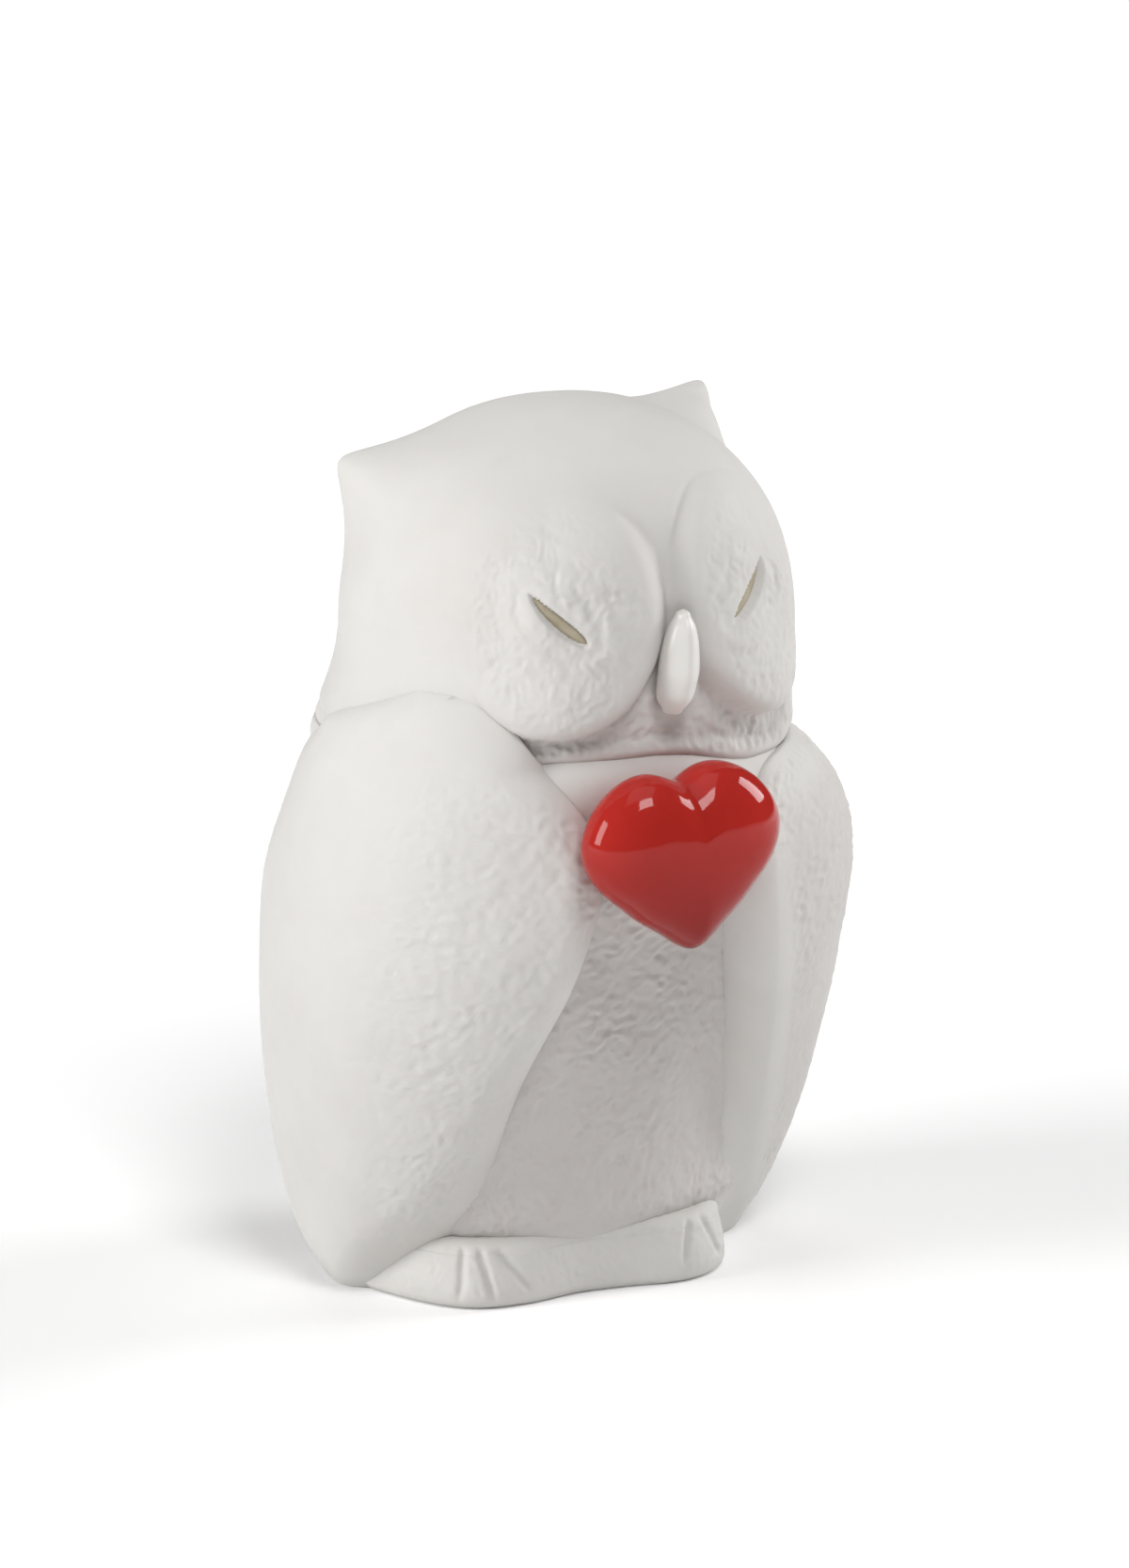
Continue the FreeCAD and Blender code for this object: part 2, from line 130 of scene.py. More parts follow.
# ------------------------------------------------------------------ mesh building
def to_world(v):
    w = np.empty_like(v)
    w[..., 0] = (v[..., 0] + OFFX) / 1000.0
    w[..., 1] = (-v[..., 1] + OFFY) / 1000.0
    w[..., 2] = v[..., 2] / 1000.0
    return w


def build(name, verts, quads, tris=None, attrs=None):
    v = to_world(np.asarray(verts, float).reshape(-1, 3))
    quads = np.asarray(quads, dtype=np.int64).reshape(-1, 4)
    tris = np.zeros((0, 3), dtype=np.int64) if tris is None else np.asarray(tris, dtype=np.int64).reshape(-1, 3)
    a, b, c, d = (v[quads[:, k]] for k in range(4))
    vol = np.einsum("ij,ij->i", a, np.cross(b, c)).sum() + np.einsum("ij,ij->i", a, np.cross(c, d)).sum()
    if len(tris):
        a, b, c = (v[tris[:, k]] for k in range(3))
        vol += np.einsum("ij,ij->i", a, np.cross(b, c)).sum()
    if vol < 0:
        quads, tris = quads[:, ::-1], tris[:, ::-1]
    me = bpy.data.meshes.new(name)
    loops = np.concatenate([quads.ravel(), tris.ravel()]).astype(np.int32)
    starts = np.concatenate([np.arange(len(quads)) * 4, len(quads) * 4 + np.arange(len(tris)) * 3]).astype(np.int32)
    me.vertices.add(len(v))
    me.vertices.foreach_set("co", v.astype(np.float32).ravel())
    me.loops.add(len(loops))
    me.loops.foreach_set("vertex_index", loops)
    me.polygons.add(len(starts))
    me.polygons.foreach_set("loop_start", starts)
    me.polygons.foreach_set("use_smooth", np.ones(len(starts), dtype=bool))
    me.update(calc_edges=True)
    me.validate(verbose=False)
    for key, val in (attrs or {}).items():
        at = me.attributes.new(key, "FLOAT", "POINT")
        at.data.foreach_set("value", np.asarray(val, dtype=np.float32).ravel())
    ob = bpy.data.objects.new(name, me)
    bpy.context.scene.collection.objects.link(ob)
    return ob


def grid_quads(rows, cols, closed=True, base=0):
    i = np.arange(rows - 1)[:, None]
    j = np.arange(cols if closed else cols - 1)[None, :]
    j2 = (j + 1) % cols
    q = np.stack([i * cols + j, i * cols + j2, (i + 1) * cols + j2, (i + 1) * cols + j], axis=-1)
    return q.reshape(-1, 4) + base


def fan(first, cols, centre, flip=False):
    j = np.arange(cols)
    t = np.stack([first + j, first + (j + 1) % cols, np.full(cols, centre)], axis=-1)
    return t[:, ::-1] if flip else t


def normals(P, closed=True):
    """Unit normals of a grid of points, following the grid's winding; callers turn them outwards."""
    if closed:
        du = np.roll(P, -1, axis=1) - np.roll(P, 1, axis=1)
    else:
        du = np.gradient(P, axis=1)
    dv = np.gradient(P, axis=0)
    n = np.cross(du, dv)
    l = np.linalg.norm(n, axis=-1, keepdims=True)
    n = n / np.maximum(l, 1e-9)
    return n


def columns(front_step, back_step, lo=-95.0, hi=95.0):
    """Bearings round the object, closer together across the front."""
    a = np.arange(lo, hi, front_step)
    b = np.arange(hi, 360.0 + lo, back_step)
    return np.concatenate([a, b]) * D2R


# ------------------------------------------------------------------ head
HZ = [67.2, 68.6, 71.0, 75.0, 79.0]
HA = [26.3, 27.3, 27.3, 26.8, 26.6]
HF = [26.9, 27.9, 28.4, 28.4, 28.2]
HB = [24.0, 24.2, 23.2, 21.2, 19.4]
YAW = 30.0 * D2R
# facial discs: middle along the width, height of the middle, half width, half height
DISC = {-1: (-0.75, 84.3, 12.1, 14.0), 1: (-0.75, 85.1, 12.0, 13.5)}
EAR = {-1: (25.6, -8.4, 99.9), 1: (26.8, -9.4, 103.9)}


def head_base(ang, z, rad):
    """rad is the dome factor, 1 below the dome."""
    zc = np.minimum(z, DOME0)
    a, f, b = spline(HZ, HA, zc), spline(HZ, HF, zc), spline(HZ, HB, zc)
    # away from the chin the joint is wiped flush and the neck flares into the shoulders
    deg = ((np.degrees(ang) + 180) % 360) - 180
    rear = smooth(40.0, 85.0, -deg) + smooth(120.0, 165.0, deg)
    a = a + rear * (1.45 * smooth(69.2, NECK, z) + 0.55 * smooth(77.0, NECK, z))
    b = b + np.minimum(rear + smooth(85.0, 120.0, deg), 1) * (0.5 * smooth(69.2, NECK, z) + 1.0 * smooth(77.0, NECK, z))
    a = a - smooth(35.0, 70.0, deg) * smooth(160.0, 120.0, deg) * 2.2 * smooth(78.5, 69.0, z)
    # the back of the skull comes in a little faster than the sides
    back = 1.0 - 0.10 * smooth(80.0, 95.0, z) * 1.0
    x, y = ring(a * rad, f * rad, b * rad * back, ang, 2.15, 2.45)
    return np.stack([x + 0.35, y, np.broadcast_to(z, x.shape)], axis=-1)


def disc_coords(p, side):
    t = side * p[..., 0] * math.cos(YAW) - p[..., 1] * math.sin(YAW)
    return t, p[..., 2]


EYE = {-1: (-1.05, 84.95, 40.0 * D2R), 1: (-5.05, 86.15, 45.0 * D2R)}


def eye_coords(p, side):
    """Along the slit (from the beak outwards) and across it, millimetres."""
    t, z = disc_coords(p, side)
    t0, z0, tilt = EYE[side]
    dt, dz = t - t0, z - z0
    c, s = math.cos(tilt), math.sin(tilt)
    return dt * c + dz * s, -dt * s + dz * c


def eye_leaf(u, side=-1):
    """Half width and sag of the slit along its length."""
    k = np.clip(1 - (u / 4.5) ** 2, 0, 1)
    return (0.72 if side < 0 else 0.88) * k ** 0.70 * (1 - 0.20 * u / 4.5), -0.30 * k


def chin_dip(x, z, lo, hi):
    """The joint line runs lower on the owl's left side."""
    k = smooth(lo, NECK, z) * (1 - smooth(NECK, hi, z))
    return (0.7 * smooth(6.0, -3.0, x) * smooth(-22.0, -12.0, x) - 1.7 * smooth(2.0, 13.0, x)) * k


def head_shape(p):
    """Displaces points of the plain head; returns points, stipple mask."""
    q = p.copy()
    q[..., 2] += chin_dip(p[..., 0], p[..., 2], 60.0, 76.0)
    x, f, z = p[..., 0], p[..., 1], p[..., 2]
    front = smooth(-4.0, 6.0, f)
    mask = np.zeros(x.shape)
    edge_in = np.full(x.shape, 9.0)
    for side in (-1, 1):
        here = (side * x > -1.2)
        t, zz = disc_coords(p, side)
        d_t, d_z, DRT, DRV = DISC[side]
        dx, dz = (t - d_t) / DRT, (zz - d_z) / DRV
        d = np.sqrt(dx * dx + dz * dz) + 1e-9
        ang = np.arctan2(dz, -dx)               # 0 towards the beak, + up
        # how strongly the rim stands up, round the oval
        rim = np.interp(np.degrees(ang), [-180, -150, -118, -90, -50, -15, 15, 42, 66, 95, 180],
                        [0.0, 0.12, 0.70, 1.05, 1.22, 1.12, 1.04, 0.86, 0.50 if side < 0 else 0.56, 0.08 if side < 0 else 0.10, 0.0])
        rim = 0.80 + (rim - 0.80) * smooth(0.12, 0.72, d)
        reach = 1.0 / np.sqrt((np.cos(ang) / DRT) ** 2 + (np.sin(ang) / DRV) ** 2)
        e = (1.0 - d) * reach                   # distance inside the rim, millimetres
        e = np.where(d < 0.5, 7.0 + (e - 7.0) * smooth(0.1, 0.5, d), e)
        rr = np.interp(np.degrees(ang), [-180, -100, -60, -20, 10, 60, 180], [3.6, 2.9, 2.1, 1.7, 1.5, 1.5, 3.0])
        rr = rr * (1.0 if side < 0 else 0.75)
        k = np.clip(e / rr, 0, 1)
        prof = np.sqrt(np.clip(1 - (1 - k) ** 2, 0, 1)) * 0.80 + 0.20 * smooth(0, 9.0, e)
        h = 2.05 * rim * prof
        # groove at the foot of the rim
        h = h - (0.34 if side < 0 else 0.62) * rim * np.exp(-((e + (0.30 if side < 0 else 0.22)) / (0.60 if side < 0 else 0.46)) ** 2)
        edge_in = np.where(here, np.minimum(edge_in, -e), edge_in)
        # the disc dips a little towards its middle, with a lid swelling over the eye
        u, w = eye_coords(p, side)
        h = h - 0.30 * np.exp(-((u + 1.5) ** 2 + (w + 1.0) ** 2) / 60.0)
        h = h + 0.16 * np.exp(-((u - 0.3) / 5.0) ** 2 - ((w + 1.9) / 1.7) ** 2)
        h = h + 0.10 * np.exp(-((u - 0.0) / 5.2) ** 2 - ((w - 2.0) / 1.6) ** 2)
        # faint pressed rings round the eye
        re = np.sqrt((u / 1.45) ** 2 + w ** 2)
        h = h + 0.10 * np.cos((re + 0.5 * noise(p / 4.0, 61)) * 2.6) * np.exp(-((re - 4.2) / 2.4) ** 2)
        hw, sag = eye_leaf(u, side)
        g = np.clip(1.0 - (np.abs(w - sag) / np.maximum(hw + 0.10, 0.05)) ** 4.0, 0, 1) * (np.abs(u) < 4.75)
        h = h - 0.95 * g ** 0.6 * np.clip(1 - (np.abs(u) / 4.75) ** 6, 0, 1)
        h = np.where(here, h, 0.0) * front
        q[..., 0] += side * h * math.sin(YAW + 0.10)
        q[..., 1] += h * math.cos(YAW + 0.10)
        inside = smooth(1.04, 0.80, d)
        low = smooth(93.5, 84.0, zz)
        ring_eye = np.exp(-((u / 7.5) ** 2 + (w / 6.5) ** 2)) * 0.9
        m = inside * np.clip(0.25 + 0.75 * low + ring_eye, 0, 1) * smooth(11.5, 6.0, t) * 0.85
        m = m * (1 - 0.75 * np.exp(-((u / 5.0) ** 4 + (w / 1.6) ** 4)))
        m = 0.72 * m * (0.35 + 0.65 * smooth(0.4, 2.6, e))
        mask = np.maximum(mask, np.where(here, m, 0.0) * front)
    # chin between and below the discs
    # below and between the discs the face lies deeper
    rec = smooth(-0.3, 1.1, edge_in) * smooth(82.0, 76.0, z) * smooth(67.3, 69.8, z) * smooth(23.0, 16.0, np.abs(x)) * front
    q[..., 1] -= 1.9 * rec
    chin = smooth(79.0, 73.5, z) * smooth(67.6, 68.6, z) * smooth(23.0, 15.0, np.abs(x)) * smooth(8.0, 16.0, f)
    mask = np.maximum(mask, 1.15 * chin * smooth(-0.4, 0.6, edge_in))
    # valley running up between the discs
    v = smooth(0.0, 1.0, edge_in) * smooth(7.0, 3.0, np.abs(x)) * smooth(76.0, 80.0, z) * smooth(97.0, 88.0, z) * (f > 0)
    q[..., 1] -= 0.75 * v
    # ears
    for side in (-1, 1):
        tx, tf, tz = EAR[side]
        tip = np.array([side * tx, tf, tz])
        root = np.array([side * 20.6, -6.4, 97.2])
        dv = p - root
        down = 0.95 - (0.30 if side > 0 else 0.12) * smooth(1.0, -3.0, dv[..., 2])
        dist = np.sqrt((dv[..., 0] * 1.0) ** 2 + (dv[..., 1] * 0.92) ** 2 + (dv[..., 2] * down) ** 2)
        k = np.clip(1 - np.sqrt(dist ** 2 + 0.35) / 12.0, 0, 1)
        k = k ** (2.6 if side < 0 else 1.9)
        q += (tip - root) * (1.14 if side < 0 else 1.09) * k[..., None]
        # thumb-pressed fold below the front edge of the tuft
        fold = np.exp(-((dv[..., 1] - 3.0 - 0.25 * (dv[..., 2])) / 1.0) ** 2
                      - ((dist - 3.6) / 3.0) ** 2) * (side * x > 0)
        q[..., 1] -= 0.5 * fold
    return q, mask


def head_grid(ang, rows):
    """rows: list of (z, dome factor)."""
    z = np.array([r[0] for r in rows])[:, None]
    k = np.array([r[1] for r in rows])[:, None]
    return head_base(ang[None, :], z, k)


def dome_rows(step):
    """Heights and shrink factors from the neck to just short of the crown, evenly spaced."""
    zs = list(np.linspace(NECK, DOME0, 400)[:-1])
    ks = [1.0] * len(zs)
    be = np.linspace(0, math.pi / 2, 900)
    for t in be[:-1]:
        zs.append(DOME0 + (TOP - DOME0) * math.sin(t) ** (2 / DOME_P))
        ks.append(math.cos(t) ** (2 / DOME_P))
    zs, ks = np.array(zs), np.array(ks)
    s = np.concatenate([[0], np.cumsum(np.hypot(np.diff(zs), 26.5 * np.diff(ks)))])
    n = int(s[-1] / step)
    u = np.linspace(0, s[-1] * 0.985, n)
    return list(zip(np.interp(u, s, zs), np.interp(u, s, ks)))


ang = columns(0.50 / RES, 1.35 / RES)
rows = dome_rows(0.30 / RES)
P = head_grid(ang, rows)
Q, mask = head_shape(P)
N = normals(Q)
if (N[len(rows) // 3, 0] * np.array([math.sin(ang[0]), math.cos(ang[0]), 0])).sum() < 0:
    N = -N
seam_fade = smooth(67.3, 68.8, Q[..., 2])
Q = Q + N * (swell(P) * seam_fade + stipple(P) * mask)[..., None]
rows_n, cols_n = Q.shape[:2]
verts = np.concatenate([Q.reshape(-1, 3), [[0.0, 0.0, NECK]], [[Q[-1, :, 0].mean(), Q[-1, :, 1].mean(), TOP + 0.02]]])
quads = grid_quads(rows_n, cols_n)
tris = np.concatenate([fan(0, cols_n, rows_n * cols_n, True), fan((rows_n - 1) * cols_n, cols_n, rows_n * cols_n + 1)])
# painted shade: greyer colour over the front of the face and the chin, where they lie in shade
head_painted_shade = smooth(2.0, 20.0, Q[..., 1]) * smooth(102.0, 92.0, Q[..., 2]) * 0.18 + 0.18 * smooth(77.0, 71.0, Q[..., 2]) * smooth(14.0, 22.0, Q[..., 1])
head = build("head", verts, quads, tris, {"stipple": np.concatenate([mask.ravel(), [0, 0]]), "painted_shade": np.concatenate([head_painted_shade.ravel(), [0, 0]])})


def surface_at(t_side, zz, side):
    """Point of the shaped head at disc coordinates t, z."""
    angs = np.linspace(0, 90, 721) * D2R * side
    out = np.zeros(t_side.shape + (3,))
    flat_t, flat_z = t_side.ravel(), zz.ravel()
    res = np.zeros((flat_t.size, 3))
    for i, (t, z) in enumerate(zip(flat_t, flat_z)):
        kz = 1.0
        if z > DOME0:
            s = ((z - DOME0) / (TOP - DOME0))
            kz = (1 - s ** DOME_P) ** (1 / DOME_P)
        p = head_base(angs, np.full(angs.shape, z), np.full(angs.shape, kz))
        tt, _ = disc_coords(p, side)
        o = np.argsort(tt)
        res[i] = [np.interp(t, tt[o], p[o, 0]), np.interp(t, tt[o], p[o, 1]), z]
    out = res.reshape(out.shape)
    return out


# ------------------------------------------------------------------ eyes
def eye_piece(side, name):
    nu, nw = (46, 12)
    us = np.linspace(-4.42, 4.42, nu)
    t0, z0, tilt = EYE[side]
    c, s = math.cos(tilt), math.sin(tilt)
    U, W = np.meshgrid(us, np.linspace(-1, 1, nw), indexing="ij")
    hw, sag = eye_leaf(U, side)
    w = sag + W * np.maximum(hw * 0.97, 0.03)
    t = U * c - w * s + t0
    z = U * s + w * c + z0
    base = surface_at(t, z, side)
    n = np.array([side * math.sin(YAW + 0.1), math.cos(YAW + 0.1), 0.0])
    shaped, _ = head_shape(base)
    # level of the disc just beside the slit, then sunk below it
    ref_t = U * c - (sag + 1.3) * s + t0
    ref_z = U * s + (sag + 1.3) * c + z0
    ref, _ = head_shape(surface_at(ref_t, ref_z, side))
    lvl = ((ref - base) * n).sum(-1)
    dome = 0.12 * (1 - W ** 2)
    topv = base + n * (lvl - (0.34 if side < 0 else 0.10) + dome)[..., None]
    botv = base + n * (lvl - 1.35)[..., None]
    V = np.concatenate([topv.reshape(-1, 3), botv.reshape(-1, 3)])
    q1 = grid_quads(nu, nw, closed=False)
    q2 = grid_quads(nu, nw, closed=False, base=nu * nw)[:, ::-1]
    edge = list(range(0, nw)) + [i * nw + nw - 1 for i in range(1, nu)] \
        + list(range(nu * nw - 2, (nu - 1) * nw - 1, -1)) + [i * nw for i in range(nu - 2, 0, -1)]
    e = np.array(edge)
    e2 = np.roll(e, -1)
    side_q = np.stack([e2, e, e + nu * nw, e2 + nu * nw], axis=-1)
    return build(name, V, np.concatenate([q1, q2, side_q]))


eye_r = eye_piece(-1, "right_eye_pigment")
eye_l = eye_piece(1, "left_eye_pigment")

# ------------------------------------------------------------------ body
BZ = [0.0, 4.0, 8.0, 15.0, 25.0, 35.0, 45.0, 55.0, 61.0, 65.4, 67.2]
BA = [20.5, 22.5, 24.5, 27.5, 29.5, 30.2, 30.2, 29.4, 28.6, 27.4, 26.4]
BF = [13.0, 14.8, 16.6, 17.8, 19.4, 21.4, 23.6, 26.4, 27.9, 28.0, 26.8]
BB = [19.0, 21.0, 23.0, 25.5, 27.0, 27.6, 27.4, 26.2, 25.2, 24.4, 24.0]


def turn_in(x, f, z):
    """How far the belly turns in where it meets the left wing."""
    return 0.9 * smooth(4.0, 14.0, x) * smooth(5.0, 14.0, z) * smooth(60.0, 50.0, z) * smooth(4.0, 10.0, f)


def body_base(ang, z):
    a, f, b = spline(BZ, BA, z), spline(BZ, BF, z), spline(BZ, BB, z)
    nf = 2.15 + 0.3 * smooth(54.0, 64.0, z)
    deg = ((np.degrees(ang) + 180) % 360) - 180
    rear = smooth(40.0, 85.0, -deg) + smooth(120.0, 165.0, deg)
    a = a + rear * (1.9 * smooth(62.0, NECK, z))
    b = b + np.minimum(rear + smooth(85.0, 120.0, deg), 1) * (1.5 * smooth(58.0, NECK, z))
    a = a - smooth(35.0, 70.0, deg) * smooth(160.0, 120.0, deg) * 2.0 * smooth(60.0, NECK, z)
    s, c = np.sin(ang), np.cos(ang)
    n = 2.15 + (nf - 2.15) * np.sqrt(np.maximum(c, 0.0))
    x = a * np.sign(s) * np.abs(s) ** (2.0 / n)
    y = np.where(c > 0, f, b) * np.sign(c) * np.abs(c) ** (2.0 / n)
    return np.stack([x, y, np.broadcast_to(z, x.shape)], axis=-1)


ang = columns(0.56 / RES, 1.7 / RES, -72.0, 72.0)
zr = np.concatenate([[0.0, 0.12, 0.35, 0.7, 1.1], np.arange(1.5, NECK - 0.3, 0.31 / RES), [NECK - 0.15, NECK]])
P = body_base(ang[None, :], zr[:, None])
# rounded lower edge
inset = np.interp(zr, [0, 0.12, 0.35, 0.7, 1.1], [1.1, 0.62, 0.30, 0.08, 0.0])[:, None, None]
u2 = P[..., :2] / np.linalg.norm(P[..., :2], axis=-1, keepdims=True)
P[..., :2] -= u2 * inset
x, f, z = P[..., 0], P[..., 1], P[..., 2]
belly = smooth(4.0, 10.0, f) * smooth(60.0, 52.0, z) * smooth(5.0, 9.0, z)
Q = P.copy()
# the belly hangs a little over the ledge
Q[..., 1] += 0.55 * np.exp(-((z - 9.6) / 2.2) ** 2) * smooth(6.0, 12.0, f)
# and turns in where it meets the left wing
Q[..., 1] -= turn_in(x, f, z)
Q[..., 2] += chin_dip(x, z, 58.0, 76.0)
mask = 0.80 * belly
N = normals(Q)
if (N[len(zr) // 2, 0] * np.array([math.sin(ang[0]), math.cos(ang[0]), 0])).sum() < 0:
    N = -N
fade = smooth(67.1, 65.6, z) * smooth(0.2, 3.0, z)
Q = Q + N * ((swell(P, 0.2, 15.0, 31) + stipple(P) * mask) * fade)[..., None]
R, C = Q.shape[:2]
# the inside of the casting: vent hole, floor and cavity
VR, VF = 4.0, -3.0
hole = [(VR + 0.5, 0.0), (VR + 0.12, 0.12), (VR, 0.5), (VR, 3.6), (VR + 0.5, 4.05)]
inner = []
for r, hz in hole:
    inner.append(np.stack([r * np.sin(ang), VF + r * np.cos(ang), np.full(C, hz)], axis=-1))
for hz, k in ((4.15, 0.55), (4.6, 0.9), (6.0, 1.0)):
    b0 = body_base(ang, np.full(C, 6.0))
    v = b0.copy()
    v[:, :2] = b0[:, :2] - 3.2 * b0[:, :2] / np.linalg.norm(b0[:, :2], axis=-1, keepdims=True)
    v[:, :2] = np.array([0, VF]) + (v[:, :2] - np.array([0, VF])) * k
    v[:, 2] = hz
    inner.append(v)
for hz in list(np.arange(9.0, 63.0, 3.0)) + [64.0]:
    b0 = body_base(ang, np.full(C, hz))
    v = b0.copy()
    v[:, :2] = b0[:, :2] - 3.2 * b0[:, :2] / np.linalg.norm(b0[:, :2], axis=-1, keepdims=True)
    v[:, 2] = hz
    inner.append(v)
I = np.stack(inner[::1])
# outer from neck down to the base, then in through the vent and up the inside, closed under the neck
shell = np.concatenate([Q[::-1], I], axis=0)
R2 = shell.shape[0]
verts = np.concatenate([shell.reshape(-1, 3), [[0, 0, NECK]], [[0, 0, 64.6]]])
quads = grid_quads(R2, C)
tris = np.concatenate([fan(0, C, R2 * C, True), fan((R2 - 1) * C, C, R2 * C + 1)])
m_all = np.concatenate([mask[::-1].ravel(), np.zeros(I.shape[0] * C), [0, 0]])
# painted shade: greyer colour over the belly, which lies in shade between the wings and under the heart
body_painted_shade = np.concatenate([(belly * smooth(64.0, 40.0, z) * 0.8)[::-1].ravel(), np.zeros(I.shape[0] * C), [0, 0]])
body = build("body", verts, quads, tris, {"stipple": m_all, "painted_shade": body_painted_shade})

# ------------------------------------------------------------------ slip bead in the chin crease
ang = np.arange(0, 360, 1.6 / RES) * D2R
bead = []
for k in range(10):
    th = 2 * math.pi * k / 10
    p = head_base(ang, np.full(ang.shape, NECK), np.ones(ang.shape))
    d = p[:, :2] / np.linalg.norm(p[:, :2], axis=-1, keepdims=True)
    wob = 0.06 * noise(p / 3.0, 77)
    dep = 0.55 + 0.8 * smooth(40.0, 85.0, np.abs(((np.degrees(ang) + 180) % 360) - 180))
    p[:, :2] += d * (-dep[:, None] + 0.5 * math.cos(th) + wob[:, None])
    p[:, 2] += 0.34 * math.sin(th) + chin_dip(p[:, 0], NECK, 60.0, 76.0)
    bead.append(p)
bead = np.stack(bead)
q = grid_quads(bead.shape[0], bead.shape[1])
last = np.stack([(bead.shape[0] - 1) * len(ang) + np.arange(len(ang)),
                 (bead.shape[0] - 1) * len(ang) + (np.arange(len(ang)) + 1) % len(ang),
                 (np.arange(len(ang)) + 1) % len(ang), np.arange(len(ang))], axis=-1)
seam = build("neck_slip_bead", bead.reshape(-1, 3), np.concatenate([q, last]))

# ------------------------------------------------------------------ wings
WZ = {-1: [0.0, 5.0, 10.0, 20.0, 30.0, 40.0, 50.0, 58.0, 66.0, 72.0, 76.0],
      1: [0.0, 5.0, 10.0, 20.0, 30.0, 40.0, 50.0, 57.0, 61.0, 64.0, 66.4]}
WA = {-1: [28.6, 31.4, 32.9, 34.8, 35.7, 35.9, 35.1, 33.7, 31.8, 30.6, 29.8],
      1: [25.5, 28.8, 31.0, 34.0, 35.8, 36.9, 37.3, 35.6, 33.1, 30.0, 27.3]}
WF = {-1: [10.0, 14.0, 17.0, 22.0, 26.0, 29.0, 30.5, 30.6, 30.2, 29.4, 28.6],
      1: [10.0, 13.0, 15.6, 20.0, 23.8, 27.2, 29.6, 30.4, 30.2, 29.4, 28.4]}
WB = {-1: [23.5, 26.5, 28.0, 29.0, 29.2, 28.8, 28.0, 26.8, 25.4, 24.2, 23.4],
      1: [22.0, 25.5, 27.5, 29.0, 29.4, 29.0, 28.2, 27.0, 26.2, 25.4, 24.6]}
LEAF = {-1: [(0.0, 72.0, 132.0), (4.0, 61.0, 137.0), (11.0, 43.5, 141.0), (17.0, 34.5, 144.0), (24.6, 29.0, 147.0),
             (32.4, 23.2, 149.0), (39.4, 17.8, 150.0), (47.2, 14.5, 149.0), (53.5, 13.2, 145.0), (59.0, 15.8, 137.0),
             (64.4, 23.2, 123.5), (68.0, 30.5, 107.0), (71.0, 36.5, 90.0), (73.6, 44.5, 76.0), (75.4, 56.0, 66.0)],
        1: [(0.0, 52.0, 112.0), (4.0, 43.0, 120.0), (11.0, 34.5, 128.0), (18.0, 30.0, 134.0), (25.0, 26.6, 140.0),
            (32.4, 23.8, 146.0), (39.4, 21.2, 149.0), (46.0, 18.6, 149.0), (52.0, 16.8, 145.0), (57.0, 16.2, 137.0),
            (61.0, 18.0, 124.0), (63.6, 23.0, 108.0), (64.9, 31.0, 92.0), (65.5, 44.0, 76.0)]}
ROUND = {-1: (5.2, 16.0), 1: (2.6, 16.0)}


def core_abf(z):
    """Outside of body and head together, which the wings lie on."""
    zb = np.clip(z, BZ[0], BZ[-1])
    zh = np.clip(z, HZ[0], HZ[-1])
    t = smooth(66.0, 69.0, z)
    out = []
    for bb, hh in ((BA, HA), (BF, HF), (BB, HB)):
        out.append(spline(BZ, bb, zb) * (1 - t) + spline(HZ, hh, zh) * t)
    return out


